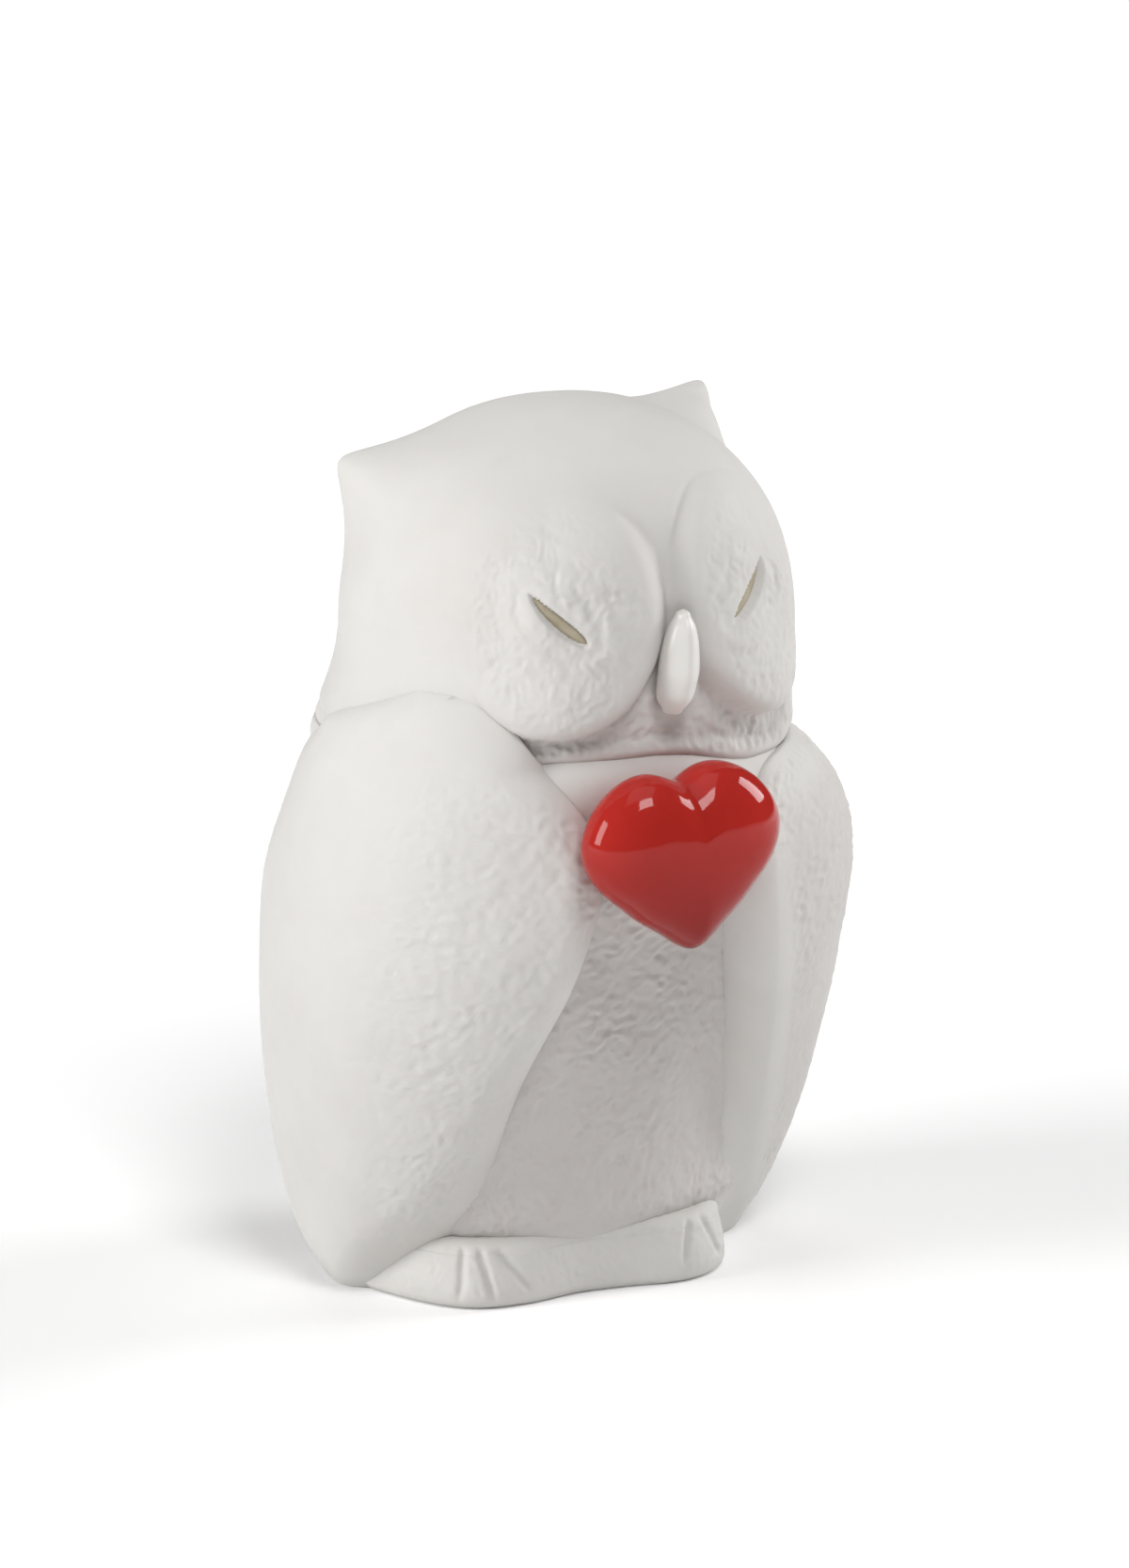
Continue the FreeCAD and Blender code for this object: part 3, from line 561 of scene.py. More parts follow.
def wing_piece(side, name):
    leaf = np.array(LEAF[side])
    ztop = leaf[-1, 0]
    # rows, closer together near the top and the foot of the leaf
    nr, nc = int(280 * RES), int(168 * RES)
    k = np.linspace(0, 1, nr)
    zr = ztop * (0.5 - 0.5 * np.cos(math.pi * k)) * 0.55 + ztop * k * 0.45
    # smooth boundary curves: spline over an arc-like parameter
    s_par = np.concatenate([[0], np.cumsum(np.hypot(np.diff(leaf[:, 0]), 0.45 * np.diff(leaf[:, 1])))])
    fine = np.linspace(0, s_par[-1], 4000)
    zf, pf = spline(s_par, leaf[:, 0], fine), spline(s_par, leaf[:, 1], fine)
    s_par2 = np.concatenate([[0], np.cumsum(np.hypot(np.diff(leaf[:, 0]), 0.45 * np.diff(leaf[:, 2])))])
    fine2 = np.linspace(0, s_par2[-1], 4000)
    zf2, pf2 = spline(s_par2, leaf[:, 0], fine2), spline(s_par2, leaf[:, 2], fine2)
    p1 = np.interp(zr, zf, pf)
    p2 = np.interp(zr, zf2, pf2)
    s = 0.5 - 0.5 * np.cos(math.pi * np.linspace(0, 1, nc))
    s = 0.6 * s + 0.4 * np.linspace(0, 1, nc)
    A = (p1[:, None] + (p2 - p1)[:, None] * s[None, :]) * D2R * side
    Z = np.broadcast_to(zr[:, None], A.shape)
    ca, cf, cb = core_abf(Z)
    nf = 2.15 + 0.3 * smooth(54.0, 64.0, Z)
    ix, if_ = ring(ca - 0.5, cf - 0.5, cb - 0.5, A, 2.15, nf)
    a, f, b = spline(WZ[side], WA[side], Z), spline(WZ[side], WF[side], Z), spline(WZ[side], WB[side], Z)
    ox, of_ = ring(a, f, b, A, 2.15, 2.15)
    if_ = if_ - turn_in(ix, if_, Z)
    inner = np.stack([ix, if_, Z], axis=-1)
    outer = np.stack([ox, of_, Z], axis=-1)
    # distance to the leaf's edge, measured on the hull
    bx = []
    for zz, pp in ((zf, pf), (zf2, pf2)):
        zz_, pp_ = zz[::25], pp[::25] * D2R * side
        aa = spline(WZ[side], WA[side], zz_), spline(WZ[side], WF[side], zz_), spline(WZ[side], WB[side], zz_)
        hx, hy = ring(aa[0], aa[1], aa[2], pp_)
        bx.append(np.stack([hx, hy, zz_], axis=-1))
    # top closing line
    tz = np.full(12, ztop)
    tp = np.linspace(leaf[-1, 1], leaf[-1, 2], 12) * D2R * side
    aa = spline(WZ[side], WA[side], tz), spline(WZ[side], WF[side], tz), spline(WZ[side], WB[side], tz)
    hx, hy = ring(aa[0], aa[1], aa[2], tp)
    top_line = np.stack([hx, hy, tz], axis=-1)

    def dist_to(line, pts):
        best = np.full(pts.shape[:-1], 1e9)
        for q0, q1 in zip(line[:-1], line[1:]):
            e = q1 - q0
            L = (e * e).sum()
            if L < 1e-9:
                continue
            t = np.clip(((pts - q0) * e).sum(-1) / L, 0, 1)
            dd = np.linalg.norm(pts - (q0 + t[..., None] * e), axis=-1)
            best = np.minimum(best, dd)
        return best

    dfront = np.minimum(dist_to(bx[0], outer), dist_to(top_line, outer))
    drear = dist_to(bx[1], outer)
    rf, rb = ROUND[side]
    # the edge is blunt in front and over the shoulder, and melts into the back
    kf = np.clip(dfront / rf, 0, 1)
    pw = 2.0
    ef = np.clip(1 - (1 - kf) ** pw, 0, 1) ** (1 / pw)
    soft = smooth(74.0, 50.0, Z)
    rbz = 5.0 + (rb - 5.0) * soft
    rbz = np.where(Z < 12, 7.0 + (rb - 7.0) * smooth(0, 12, Z), rbz)
    kb = np.clip(drear / rbz, 0, 1)
    eb = np.where(soft > 0.5, smooth(0, 1, kb), np.sqrt(np.clip(1 - (1 - kb) ** 2, 0, 1)))
    mix = soft
    eb = mix * smooth(0, 1, kb) + (1 - mix) * np.sqrt(np.clip(1 - (1 - kb) ** 2, 0, 1))
    k = ef * eb
    surf = inner + (outer - inner) * k[..., None]
    if side > 0:
        # a soft ridge a few millimetres behind the inner edge
        ridge = 0.5 * np.exp(-((dfront - 3.6) / 1.8) ** 2) * smooth(60.0, 40.0, Z) * smooth(2.0, 10.0, Z)
    else:
        ridge = np.zeros(Z.shape)
    n = normals(surf, closed=False)
    d = np.stack([np.sin(A), np.cos(A), np.zeros(A.shape)], axis=-1)
    n = np.where(((n * d).sum(-1) < 0)[..., None], -n, n)
    front = smooth(-2.0, 12.0, surf[..., 1])
    if side < 0:
        mk = 0.56 * smooth(6.0, 20.0, surf[..., 1]) * smooth(70.0, 60.0, Z) + 0.20 * smooth(26.0, 10.0, Z) * front
        mk = mk * smooth(0.3, 2.2, dfront)
    else:
        mk = 0.72 * smooth(2.6, 7.5, dfront) * smooth(-6.0, 6.0, surf[..., 1]) * (0.55 + 0.45 * smooth(34.0, 48.0, Z))
        mk = np.maximum(mk, 0.7 * smooth(50.0, 56.0, Z) * smooth(0.4, 2.0, dfront) * smooth(4.0, 12.0, surf[..., 1]))
        mk = mk * smooth(0.2, 1.6, dfront)
    fade = np.clip(k * 1.4, 0, 1) * smooth(0.0, 2.0, Z)
    surf = surf + n * ((swell(surf, 0.22, 14.0, 51 + side) + stipple(surf) * mk + 0.30 * ridge) * fade)[..., None]
    surf[..., 2] = np.maximum(surf[..., 2], 0.0)
    # back face, well inside the body
    bx_, bf_ = ring(ca - 1.2, cf - 1.2, cb - 1.2, A, 2.15, nf)
    bf_ = bf_ - turn_in(bx_, bf_, Z) - 0.8 * smooth(4.0, 10.0, bf_)
    back = np.stack([bx_, bf_, Z], axis=-1)
    Rn, Cn = surf.shape[:2]
    V = np.concatenate([surf.reshape(-1, 3), back.reshape(-1, 3)])
    off = Rn * Cn
    q1 = grid_quads(Rn, Cn, closed=False)
    q2 = grid_quads(Rn, Cn, closed=False, base=off)[:, ::-1]
    e = np.array(list(range(0, Cn)) + [i * Cn + Cn - 1 for i in range(1, Rn)]
                 + list(range(Rn * Cn - 2, (Rn - 1) * Cn - 1, -1)) + [i * Cn for i in range(Rn - 2, 0, -1)])
    e2 = np.roll(e, -1)
    sq = np.stack([e2, e, e + off, e2 + off], axis=-1)
    att = np.concatenate([mk.ravel(), np.zeros(off)])
    # painted shade: greyer colour on the wings, strongest on the left wing, which lies in shade
    wing_painted_shade = (0.12 if side < 0 else 0.50 * smooth(3.0, 7.5, dfront)) * smooth(2.0, 16.0, surf[..., 1])
    return build(name, V, np.concatenate([q1, q2, sq]), None, {"stipple": att, "painted_shade": np.concatenate([wing_painted_shade.ravel(), np.zeros(off)])})


wing_r = wing_piece(-1, "right_wing")
wing_l = wing_piece(1, "left_wing")

# ------------------------------------------------------------------ foot ledge
LEDGE = [(-21.0, -2.0), (-25.4, -1.6), (-26.6, 1.6), (-24.7, 7.0), (-21.9, 12.0), (-18.2, 15.2), (-12.2, 16.7), (-5.4, 16.4),
         (0.6, 17.4), (5.4, 18.6), (9.8, 18.4), (13.4, 16.6), (16.0, 13.4), (17.2, 9.6), (16.6, 6.4), (12.0, 5.0)]
TOES = [(-19.7, 7.1, -21.0, 1.2, 1.15), (-18.2, 7.1, -17.4, 0.9, 1.2), (-16.1, 6.8, -12.6, 1.8, 1.3),
        (8.6, 7.2, 7.2, 2.2, 1.15), (10.6, 7.3, 13.6, 1.5, 1.15)]


def closed_curve(pts, n):
    """Catmull-Rom round closed control points, evenly spaced."""
    p = np.array(pts, float)
    m = len(p)
    out = []
    for i in range(m):
        p0, p1, p2, p3 = p[i - 1], p[i], p[(i + 1) % m], p[(i + 2) % m]
        t = np.linspace(0, 1, 60, endpoint=False)[:, None]
        out.append(0.5 * ((2 * p1) + (-p0 + p2) * t + (2 * p0 - 5 * p1 + 4 * p2 - p3) * t ** 2
                          + (-p0 + 3 * p1 - 3 * p2 + p3) * t ** 3))
    c = np.concatenate(out)
    c = np.concatenate([c, c[:1]])
    s = np.concatenate([[0], np.cumsum(np.linalg.norm(np.diff(c, axis=0), axis=1))])
    u = np.linspace(0, s[-1], n, endpoint=False)
    return np.stack([np.interp(u, s, c[:, 0]), np.interp(u, s, c[:, 1])], axis=-1)


nc = int(560 * RES)
oc = closed_curve(LEDGE, nc)
tan = np.roll(oc, -1, axis=0) - np.roll(oc, 1, axis=0)
nrm = np.stack([tan[:, 1], -tan[:, 0]], axis=-1)
nrm /= np.linalg.norm(nrm, axis=1, keepdims=True)
cen = np.array([-4.0, 6.0])
if (nrm * (oc - cen)).sum() < 0:
    nrm = -nrm
for _ in range(8):
    nrm = (np.roll(nrm, 1, 0) + nrm + np.roll(nrm, -1, 0)) / 3
LT = 7.9
zr = np.concatenate([[0.0, 0.08, 0.25, 0.5, 0.8], np.arange(1.1, LT - 1.6, 0.2 / RES),
                     LT - 1.6 * (1 - np.sin(np.linspace(0, math.pi / 2, 12)))])
foot = np.exp(-((oc[:, 0] + 18.6) / 5.2) ** 2) + 0.85 * np.exp(-((oc[:, 0] - 9.6) / 4.6) ** 2)
foot = foot * smooth(2.0, 8.0, oc[:, 1])
ro = []
for zz in zr:
    low = -0.95 * (1 - smooth(-0.6, 0.9, zz)) + 0.32 - 1.1 * (zz / LT) ** 1.6
    top = 1.5 * (1 - math.sqrt(max(1 - max((zz - (LT - 1.6)) / 1.6, 0) ** 2, 0)))
    ftz = 0.85 * math.exp(-((zz - 2.2) / 2.3) ** 2)
    g = low - top + foot * ftz
    ro.append(np.concatenate([oc + nrm * g[:, None], np.full((nc, 1), zz)], axis=1))
L = np.stack(ro)
# incised toe lines
dep = np.zeros(L.shape[:2])
for xa, za, xb, zb, wd in TOES:
    a_, b_ = np.array([xa, za]), np.array([xb, zb])
    e = b_ - a_
    # arc distance rather than side distance keeps the width even round the foot
    sx = L[..., 0]
    k = (oc[:, 0] - xa) / (1e-9 + 1)
    pt = np.stack([sx, L[..., 2]], axis=-1)
    t = np.clip(((pt - a_) * e).sum(-1) / (e * e).sum(), -0.06, 1.04)
    stretch = 1.0 / np.maximum(np.abs(nrm[:, 1]), 0.45)
    dd = pt - (a_ + t[..., None] * e)
    dist = np.sqrt((dd[..., 0] * stretch[None, :]) ** 2 + dd[..., 1] ** 2)
    taper = smooth(-0.08, 0.15, t) * smooth(1.06, 0.75, t)
    g = np.exp(-(dist / (0.42 * wd)) ** 2) * taper
    dep = np.maximum(dep, g * (L[..., 1] > 4.0))
    bulge = np.exp(-((dist - 1.25) / 0.8) ** 2) * taper * 0.16 * (L[..., 1] > 4.0)
    dep = dep - bulge * 0.35
N = np.concatenate([np.broadcast_to(nrm[None], L.shape[:2] + (2,)), np.zeros(L.shape[:2] + (1,))], axis=-1)
mkl = 0.40 * smooth(0.5, 2.0, L[..., 2]) * smooth(7.9, 6.6, L[..., 2])
L = L + N * (-0.50 * dep + stipple(L) * mkl * 0.9 + 0.5 * swell(L, 0.2, 9.0, 91) * smooth(0.0, 1.5, L[..., 2]))[..., None]
Rn = L.shape[0]
V = np.concatenate([L.reshape(-1, 3), [[-4.0, 9.0, 0.0]]])
# top face steps in towards the body in a few rings
rings = [L]
for k, dz in ((0.9, 0.10), (0.7, 0.16), (0.4, 0.18)):
    last = rings[0][-1].copy()
    r = last.copy()
    r[:, :2] = cen + (last[:, :2] - cen) * k
    r[:, 2] = LT + dz
    rings.append(r[None])
L2 = np.concatenate(rings)
Rn = L2.shape[0]
V = np.concatenate([L2.reshape(-1, 3), [[-4.0, 9.0, 0.0]], [[cen[0], cen[1], LT + 0.2]]])
quads = grid_quads(Rn, nc)
tris = np.concatenate([fan(0, nc, Rn * nc, True), fan((Rn - 1) * nc, nc, Rn * nc + 1)])
mk_all = np.concatenate([mkl.ravel(), np.zeros(3 * nc + 2)])
# the sole stands a hair higher than the body base it runs under
V[:, 2] += 0.06 * smooth(1.0, 0.0, V[:, 2])
ledge = build("foot_ledge", V, quads, tris, {"stipple": mk_all})

# ------------------------------------------------------------------ heart
HC = np.array([-1.35, 32.4, 57.25])
HDEG = [0, 8, 18, 30, 45, 60, 76, 90, 103, 120, 135, 148, 160, 172, 180]
HR = [9.3, 9.9, 11.2, 12.2, 12.9, 13.4, 13.5, 12.7, 11.45, 10.1, 9.7, 9.7, 10.1, 11.1, 11.65]
nt, nd = int(420 * RES), int(90 * RES)
th = np.linspace(0, 360, nt, endpoint=False)
dth = np.where(th > 180, 360 - th, th)
kn = np.concatenate([-np.array(HDEG[3:0:-1]), HDEG, 360 - np.array(HDEG[-2:-5:-1])])
kv = np.concatenate([HR[3:0:-1], HR, HR[-2:-5:-1]])
rad = 0.958 * spline(kn, kv, dth)
al = np.linspace(0, math.pi, 2 * nd + 1)[1:-1]
dd = np.sin(al) ** 0.92
wz = np.sign(np.cos(al)) * (1 - np.clip(dd, 0, 1) ** 2.7) ** (1 / 2.1) * 5.9
roll = 4.0 * D2R
tt = np.radians(th)
U = rad[None, :] * dd[:, None] * np.sin(tt)[None, :]
W = rad[None, :] * dd[:, None] * np.cos(tt)[None, :]
X = U * math.cos(roll) - W * math.sin(roll)
Z = U * math.sin(roll) + W * math.cos(roll)
H = np.stack([HC[0] + X, HC[1] + np.broadcast_to(wz[:, None], X.shape), HC[2] + Z], axis=-1)
# valley below the notch, on the front and the back
val = np.exp(-(U / 4.2) ** 2) * smooth(2.0, 9.5, W) * 0.38
H[..., 1] -= np.sign(wz)[:, None] * val * smooth(0.0, 0.5, np.abs(wz)[:, None] / 6.0)
nH = normals(H)
cH = H - HC
nH = np.where(((nH * cH).sum(-1) < 0)[..., None], -nH, nH)
H = H + nH * (0.05 * noise(H / 6.0, 5) + 0.012 * noise(H / 2.0, 6))[..., None]
Rn = H.shape[0]
V = np.concatenate([H.reshape(-1, 3), [H[0].mean(0) + [0, 0.03, 0]], [H[-1].mean(0) - [0, 0.03, 0]]])
tris = np.concatenate([fan(0, nt, Rn * nt, True), fan((Rn - 1) * nt, nt, Rn * nt + 1)])
heart = build("heart", V, grid_quads(Rn, nt), tris)

# ------------------------------------------------------------------ beak
nb, ns = int(120 * RES), int(150 * RES)
a_ = np.linspace(0, 2 * math.pi, nb, endpoint=False)
be = np.linspace(-math.pi / 2, math.pi / 2, ns + 2)[1:-1]
zz = np.sin(be)
zc = 78.95 + 6.3 * zz
run = (1 - zz) / 2                       # 0 at the top, 1 at the lower tip
wid = spline([0.0, 0.012, 0.054, 0.125, 0.196, 0.375, 0.55, 0.73, 0.875, 0.946, 0.988, 1.0],
             [0.0, 0.42, 0.92, 1.42, 1.80, 2.28, 2.48, 2.36, 1.84, 1.22, 0.58, 0.0], run)
k = np.clip(wid / 2.48, 0.02, 1)
depf = 3.0 * k ** 0.85
cf = 28.75 + 0.35 * zz - 0.9 * np.clip(-zz - 0.2, 0, 1)
B = []
for i in range(len(zc)):
    s_, c_ = np.sin(a_), np.cos(a_)
    n_ = np.where(c_ > 0, 1.62, 2.0)
    bx = wid[i] * np.sign(s_) * np.abs(s_) ** (2 / n_)
    bf = np.where(c_ > 0, depf[i], 2.0 * k[i]) * np.sign(c_) * np.abs(c_) ** (2 / n_)
    B.append(np.stack([bx + 0.3 + 0.3 * zz[i], cf[i] + bf, np.full(nb, zc[i])], axis=-1))
B = np.stack(B)
V = np.concatenate([B.reshape(-1, 3), [B[0].mean(0) - [0, 0, 0.05]], [B[-1].mean(0) + [0, 0, 0.05]]])
tris = np.concatenate([fan(0, nb, len(zc) * nb, True), fan((len(zc) - 1) * nb, nb, len(zc) * nb + 1)])
beak = build("beak_tip", V, grid_quads(len(zc), nb), tris)


# ------------------------------------------------------------------ materials
def new_mat(name):
    m = bpy.data.materials.new(name)
    m.use_nodes = True
    nt_ = m.node_tree
    nt_.nodes.clear()
    out = nt_.nodes.new("ShaderNodeOutputMaterial")
    bs = nt_.nodes.new("ShaderNodeBsdfPrincipled")
    nt_.links.new(bs.outputs[0], out.inputs[0])
    return m, nt_, bs


def node(t, kind, **kw):
    n = t.nodes.new(kind)
    for k_, v_ in kw.items():
        setattr(n, k_, v_)
    return n


def noise_node(t, co, scale, detail=3.0, rough=0.5):
    n = node(t, "ShaderNodeTexNoise")
    n.inputs["Scale"].default_value = scale
    n.inputs["Detail"].default_value = detail
    n.inputs["Roughness"].default_value = rough
    t.links.new(co, n.inputs["Vector"])
    return n.outputs["Fac"]


def ramp(t, src, stops):
    r = node(t, "ShaderNodeValToRGB")
    els = r.color_ramp.elements
    while len(els) < len(stops):
        els.new(0.5)
    for e_, (p_, c_) in zip(els, stops):
        e_.position = p_
        e_.color = (*c_, 1.0)
    t.links.new(src, r.inputs[0])
    return r.outputs[0]


def maprange(t, src, a, b, c, d):
    r = node(t, "ShaderNodeMapRange")
    for k_, v_ in zip(("From Min", "From Max", "To Min", "To Max"), (a, b, c, d)):
        r.inputs[k_].default_value = v_
    t.links.new(src, r.inputs["Value"])
    return r.outputs[0]


def math_node(t, op, a, b):
    r = node(t, "ShaderNodeMath", operation=op)
    for k_, v_ in ((0, a), (1, b)):
        if isinstance(v_, (int, float)):
            r.inputs[k_].default_value = v_
        else:
            t.links.new(v_, r.inputs[k_])
    return r.outputs[0]


def bisque(name, stip=True, painted_shade=False, tint=(0.640, 0.626, 0.604), dark=(0.600, 0.582, 0.558)):
    m, t, bs = new_mat(name)
    co = node(t, "ShaderNodeTexCoord").outputs["Object"]
    fac = noise_node(t, co, 55.0, 4.0, 0.6)
    col = ramp(t, fac, [(0.25, dark), (0.62, tint), (1.0, tint)])
    # fine specks of grog, very faint
    sp = noise_node(t, co, 2600.0, 1.0, 0.5)
    spk = maprange(t, sp, 0.70, 0.78, 0.0, 0.10)
    mix = node(t, "ShaderNodeMix", data_type="RGBA")
    t.links.new(spk, mix.inputs[0])
    t.links.new(col, mix.inputs[6])
    mix.inputs[7].default_value = (0.52, 0.49, 0.44, 1)
    last_ = mix.outputs[2]
    if painted_shade:
        # painted shade: a grey-mauve colour mixed over the dabbed slip by a per-vertex mask, darkening the places that
        # lie in shade
        wa = node(t, "ShaderNodeAttribute", attribute_name="painted_shade")
        wn = noise_node(t, co, 420.0, 3.0, 0.6)
        wf = math_node(t, "MULTIPLY", wa.outputs["Fac"], maprange(t, wn, 0.3, 0.7, 0.75, 1.0))
        m2 = node(t, "ShaderNodeMix", data_type="RGBA")
        t.links.new(wf, m2.inputs[0])
        t.links.new(last_, m2.inputs[6])
        m2.inputs[7].default_value = (0.530, 0.500, 0.482, 1)
        last_ = m2.outputs[2]
    t.links.new(last_, bs.inputs["Base Color"])
    r = noise_node(t, co, 160.0, 3.0, 0.55)
    t.links.new(maprange(t, r, 0.3, 0.7, 0.58, 0.74), bs.inputs["Roughness"])
    bs.inputs["Specular IOR Level"].default_value = 0.32
    bs.inputs["Subsurface Weight"].default_value = 0.05
    bs.inputs["Subsurface Radius"].default_value = (1.0, 0.72, 0.55)
    bs.inputs["Subsurface Scale"].default_value = 0.0006
    g1 = noise_node(t, co, 1900.0, 3.0, 0.6)
    g2 = noise_node(t, co, 620.0, 2.0, 0.5)
    h = math_node(t, "MULTIPLY", g1, 0.35)
    if stip:
        at = node(t, "ShaderNodeAttribute", attribute_name="stipple")
        k_ = maprange(t, at.outputs["Fac"], 0.0, 1.0, 0.25, 1.6)
        h = math_node(t, "ADD", h, math_node(t, "MULTIPLY", g2, k_))
    else:
        h = math_node(t, "ADD", h, math_node(t, "MULTIPLY", g2, 0.3))
    bp = node(t, "ShaderNodeBump")
    bp.inputs["Strength"].default_value = 0.35
    bp.inputs["Distance"].default_value = 0.00009
    t.links.new(h, bp.inputs["Height"])
    t.links.new(bp.outputs[0], bs.inputs["Normal"])
    return m


def glaze(name, stops, rough=(0.04, 0.09), coat=1.0, bump=0.00002, sss=0.0, scale=70.0, spec=0.5, painted_low_shade=None):
    m, t, bs = new_mat(name)
    co = node(t, "ShaderNodeTexCoord").outputs["Object"]
    fac = noise_node(t, co, scale, 3.0, 0.5)
    col = ramp(t, fac, stops)
    if painted_low_shade:
        # painted shade: the glaze colour darkens towards the lower end of the heart
        sep = node(t, "ShaderNodeSeparateXYZ")
        t.links.new(co, sep.inputs[0])
        dn = maprange(t, sep.outputs[2], painted_low_shade[0], painted_low_shade[1], 1.0, 0.0)
        m2 = node(t, "ShaderNodeMix", data_type="RGBA")
        t.links.new(dn, m2.inputs[0])
        t.links.new(col, m2.inputs[6])
        m2.inputs[7].default_value = painted_low_shade[2] + (1,)
        col = m2.outputs[2]
    t.links.new(col, bs.inputs["Base Color"])
    r = noise_node(t, co, 240.0, 2.0, 0.5)
    t.links.new(maprange(t, r, 0.3, 0.7, rough[0], rough[1]), bs.inputs["Roughness"])
    bs.inputs["Specular IOR Level"].default_value = spec
    bs.inputs["Coat Weight"].default_value = coat
    bs.inputs["Coat Roughness"].default_value = 0.03
    bs.inputs["Subsurface Weight"].default_value = sss
    bs.inputs["Subsurface Scale"].default_value = 0.0008
    b = noise_node(t, co, 420.0, 2.0, 0.5)
    bp = node(t, "ShaderNodeBump")
    bp.inputs["Strength"].default_value = 0.25
    bp.inputs["Distance"].default_value = bump
    t.links.new(b, bp.inputs["Height"])
    t.links.new(bp.outputs[0], bs.inputs["Normal"])
    return m


m_bisque = bisque("bisque_porcelain", True, True)
m_slip = bisque("slip_joint", False, False, (0.60, 0.585, 0.56), (0.55, 0.53, 0.505))
m_beak = glaze("beak_satin", [(0.3, (0.70, 0.685, 0.655)), (0.7, (0.73, 0.715, 0.69))], (0.30, 0.42), 0.25, 0.00003, 0.15, 90.0, 0.4)
# painted shade: the last argument darkens the red towards the heart's lower end
m_red = glaze("red_glaze", [(0.30, (0.38, 0.020, 0.015)), (0.55, (0.41, 0.023, 0.018)), (0.8, (0.45, 0.029, 0.022))],
              (0.045, 0.08), 0.0, 0.00002, 0.0, 60.0, 0.21, (0.046, 0.061, (0.225, 0.013, 0.011)))
m_eye = glaze("eye_pigment", [(0.3, (0.33, 0.285, 0.20)), (0.6, (0.40, 0.35, 0.26)), (0.85, (0.45, 0.40, 0.31))],
              (0.5, 0.7), 0.0, 0.00006, 0.0, 500.0, 0.3)
m_glue = glaze("clear_adhesive", [(0.3, (0.60, 0.54, 0.38)), (0.7, (0.68, 0.63, 0.47))], (0.15, 0.3), 0.4, 0.00005, 0.2, 200.0, 0.5)

for ob, mat, slot_name, nodes_ in (
        (head, m_bisque, "bisque", ("head_casting",)),
        (body, m_bisque, "bisque", ("body_casting",)),
        (seam, m_slip, "slip", ("neck_slip_seam",)),
        (wing_r, m_bisque, "bisque", ("right_wing_casting",)),
        (wing_l, m_bisque, "bisque", ("left_wing_casting",)),
        (ledge, m_bisque, "bisque", ("foot_ledge_casting",)),
        (heart, m_red, "red_glaze", ("heart_casting",)),
        (beak, m_beak, "beak_glaze", ("beak",)),
        (eye_r, m_eye, "eye_pigment", ("right_eye_line",)),
        (eye_l, m_eye, "eye_pigment", ("left_eye_line",))):
    ob.data.materials.append(mat)
    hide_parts(*nodes_)
    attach(ob, "root")
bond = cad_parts["heart_bond"]
bond.data.materials.clear()
bond.data.materials.append(m_glue)

# ------------------------------------------------------------------ stage
scene = bpy.context.scene
scene.view_settings.view_transform = "Standard"
scene.view_settings.look = "None"
scene.view_settings.exposure = 0.0
scene.view_settings.gamma = 1.0

fm, ft, fb = new_mat("floor_paper")
fco = node(ft, "ShaderNodeTexCoord").outputs["Object"]
ffac = noise_node(ft, fco, 3.0, 2.0, 0.5)
ft.links.new(ramp(ft, ffac, [(0.3, (0.93, 0.93, 0.93)), (0.7, (0.95, 0.95, 0.95))]), fb.inputs["Base Color"])
fb.inputs["Roughness"].default_value = 0.85
# painted light: the floor itself glows, faintly near the object and more strongly away from it
fsep = node(ft, "ShaderNodeVectorMath", operation="LENGTH")
ft.links.new(fco, fsep.inputs[0])
glow = ramp(ft, maprange(ft, fsep.outputs["Value"], 0.0, 1.5, 0.0, 1.0),
            [(0.04, (0.05, 0.05, 0.05)), (0.18, (0.19, 0.19, 0.19)), (0.40, (0.40, 0.40, 0.40)), (0.75, (0.72, 0.72, 0.72)), (1.0, (0.90, 0.90, 0.90))])
ft.links.new(glow, fb.inputs["Emission Strength"])
fb.inputs["Emission Color"].default_value = (1.0, 1.0, 1.0, 1)
fb.inputs["Specular IOR Level"].default_value = 0.15
me = bpy.data.meshes.new("floor")
S = 6.0
me.from_pydata([(-S, -S, 0), (S, -S, 0), (S, S, 0), (-S, S, 0)], [], [(0, 1, 2, 3)])
floor = bpy.data.objects.new("floor", me)
floor.location = (0, 0, -0.0001)
me.materials.append(fm)
scene.collection.objects.link(floor)

world = bpy.data.worlds.new("studio")
scene.world = world
world.use_nodes = True
wt = world.node_tree
bg = wt.nodes["Background"]
bg.inputs[0].default_value = (1.0, 0.995, 0.985, 1)
bg.inputs[1].default_value = 0.03


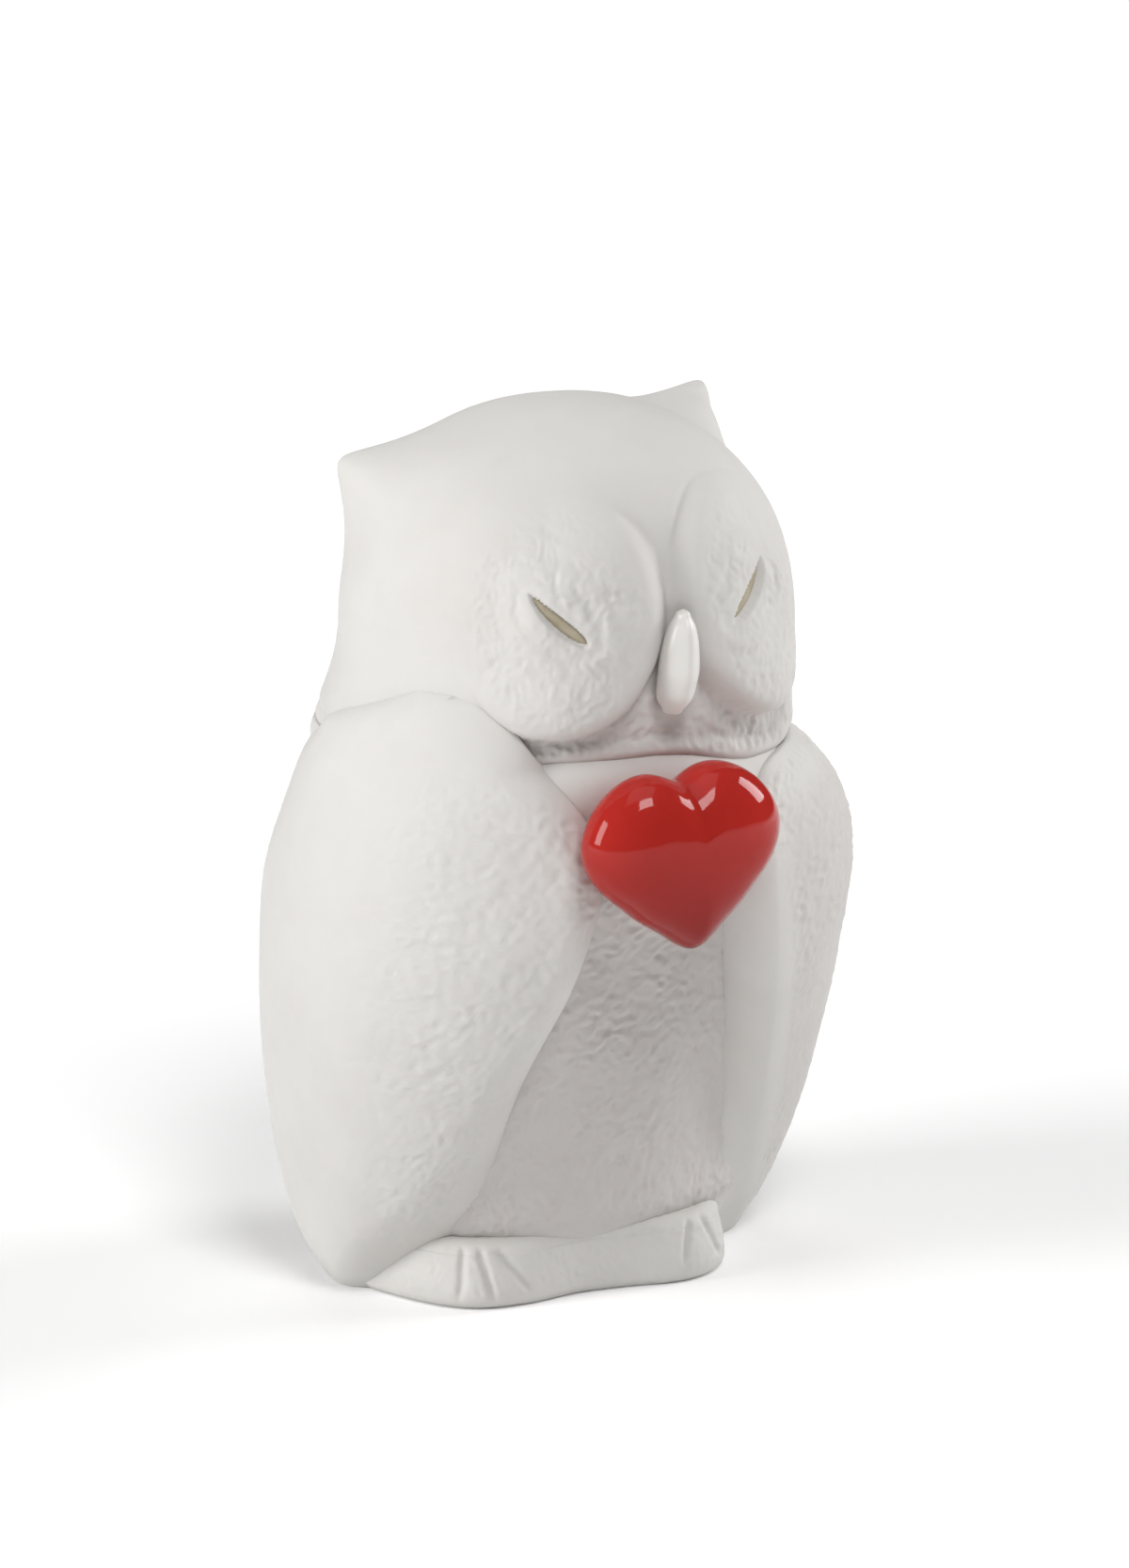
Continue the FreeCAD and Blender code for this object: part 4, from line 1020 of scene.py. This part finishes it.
def area(name, az, el, dist, size, power, colour=(1, 1, 1), target=(0, 0, 0.055)):
    """Soft box at an azimuth (0 in front of the owl, + to its left) and elevation."""
    d = bpy.data.lights.new(name, "AREA")
    d.shape = "RECTANGLE"
    d.size, d.size_y = size
    d.energy = power
    d.color = colour
    o = bpy.data.objects.new(name, d)
    a, e = az * D2R, el * D2R
    pos = (target[0] + dist * math.sin(a) * math.cos(e), target[1] - dist * math.cos(a) * math.cos(e),
           target[2] + dist * math.sin(e))
    o.location = pos
    from mathutils import Vector
    o.rotation_euler = (Vector(target) - Vector(pos)).to_track_quat("-Z", "Y").to_euler()
    scene.collection.objects.link(o)
    return o


area("softbox_left", -99.0, 21.0, 1.1, (0.42, 0.60), 8.6)
area("softbox_top", -30.0, 82.0, 1.2, (0.80, 0.80), 2.2)
area("softbox_right", 82.0, 24.0, 1.2, (0.42, 0.52), 7.4)
area("softbox_front", -8.0, 54.0, 1.2, (0.38, 0.38), 6.1)
area("softbox_rear", 160.0, 50.0, 1.2, (0.60, 0.60), 1.9)

# ------------------------------------------------------------------ camera
AZ, EL, DIST = -30.0, 14.5, 0.700
FPX = 8.9 * 700.0                       # focal length in units of the 1667-high frame
cam = bpy.data.cameras.new("camera")
cam.sensor_fit = "VERTICAL"
cam.sensor_height = 36.0
cam.lens = FPX / 1667.0 * 36.0
cam.clip_start, cam.clip_end = 0.01, 50.0
co = bpy.data.objects.new("camera", cam)
a, e = AZ * D2R, EL * D2R
right = np.array([math.cos(a), math.sin(a), 0.0])
back = np.array([math.sin(a) * math.cos(e), -math.cos(a) * math.cos(e), math.sin(e)])
up = np.cross(back, right)
# the model origin (before the box offset) sits at (586, 1335) of the 1200 x 1667 frame
o0 = np.array([OFFX, OFFY, 0.0]) / 1000.0
su, sv = (586.0 - 600.0) / 8.9 / 1000.0, -(1335.0 - 833.5) / 8.9 / 1000.0
aim = o0 - right * su - up * sv
w0 = 0.055 * math.sin(e)
# depth of the aiming plane: the origin's own depth along the view, plus the mid height
depth0 = float(np.dot(aim - o0, back))
pos = aim + back * (DIST + w0 - depth0)
co.location = pos
m = np.stack([right, up, back], axis=1)
from mathutils import Matrix
co.rotation_euler = Matrix(m.tolist()).to_euler()
scene.collection.objects.link(co)
scene.camera = co
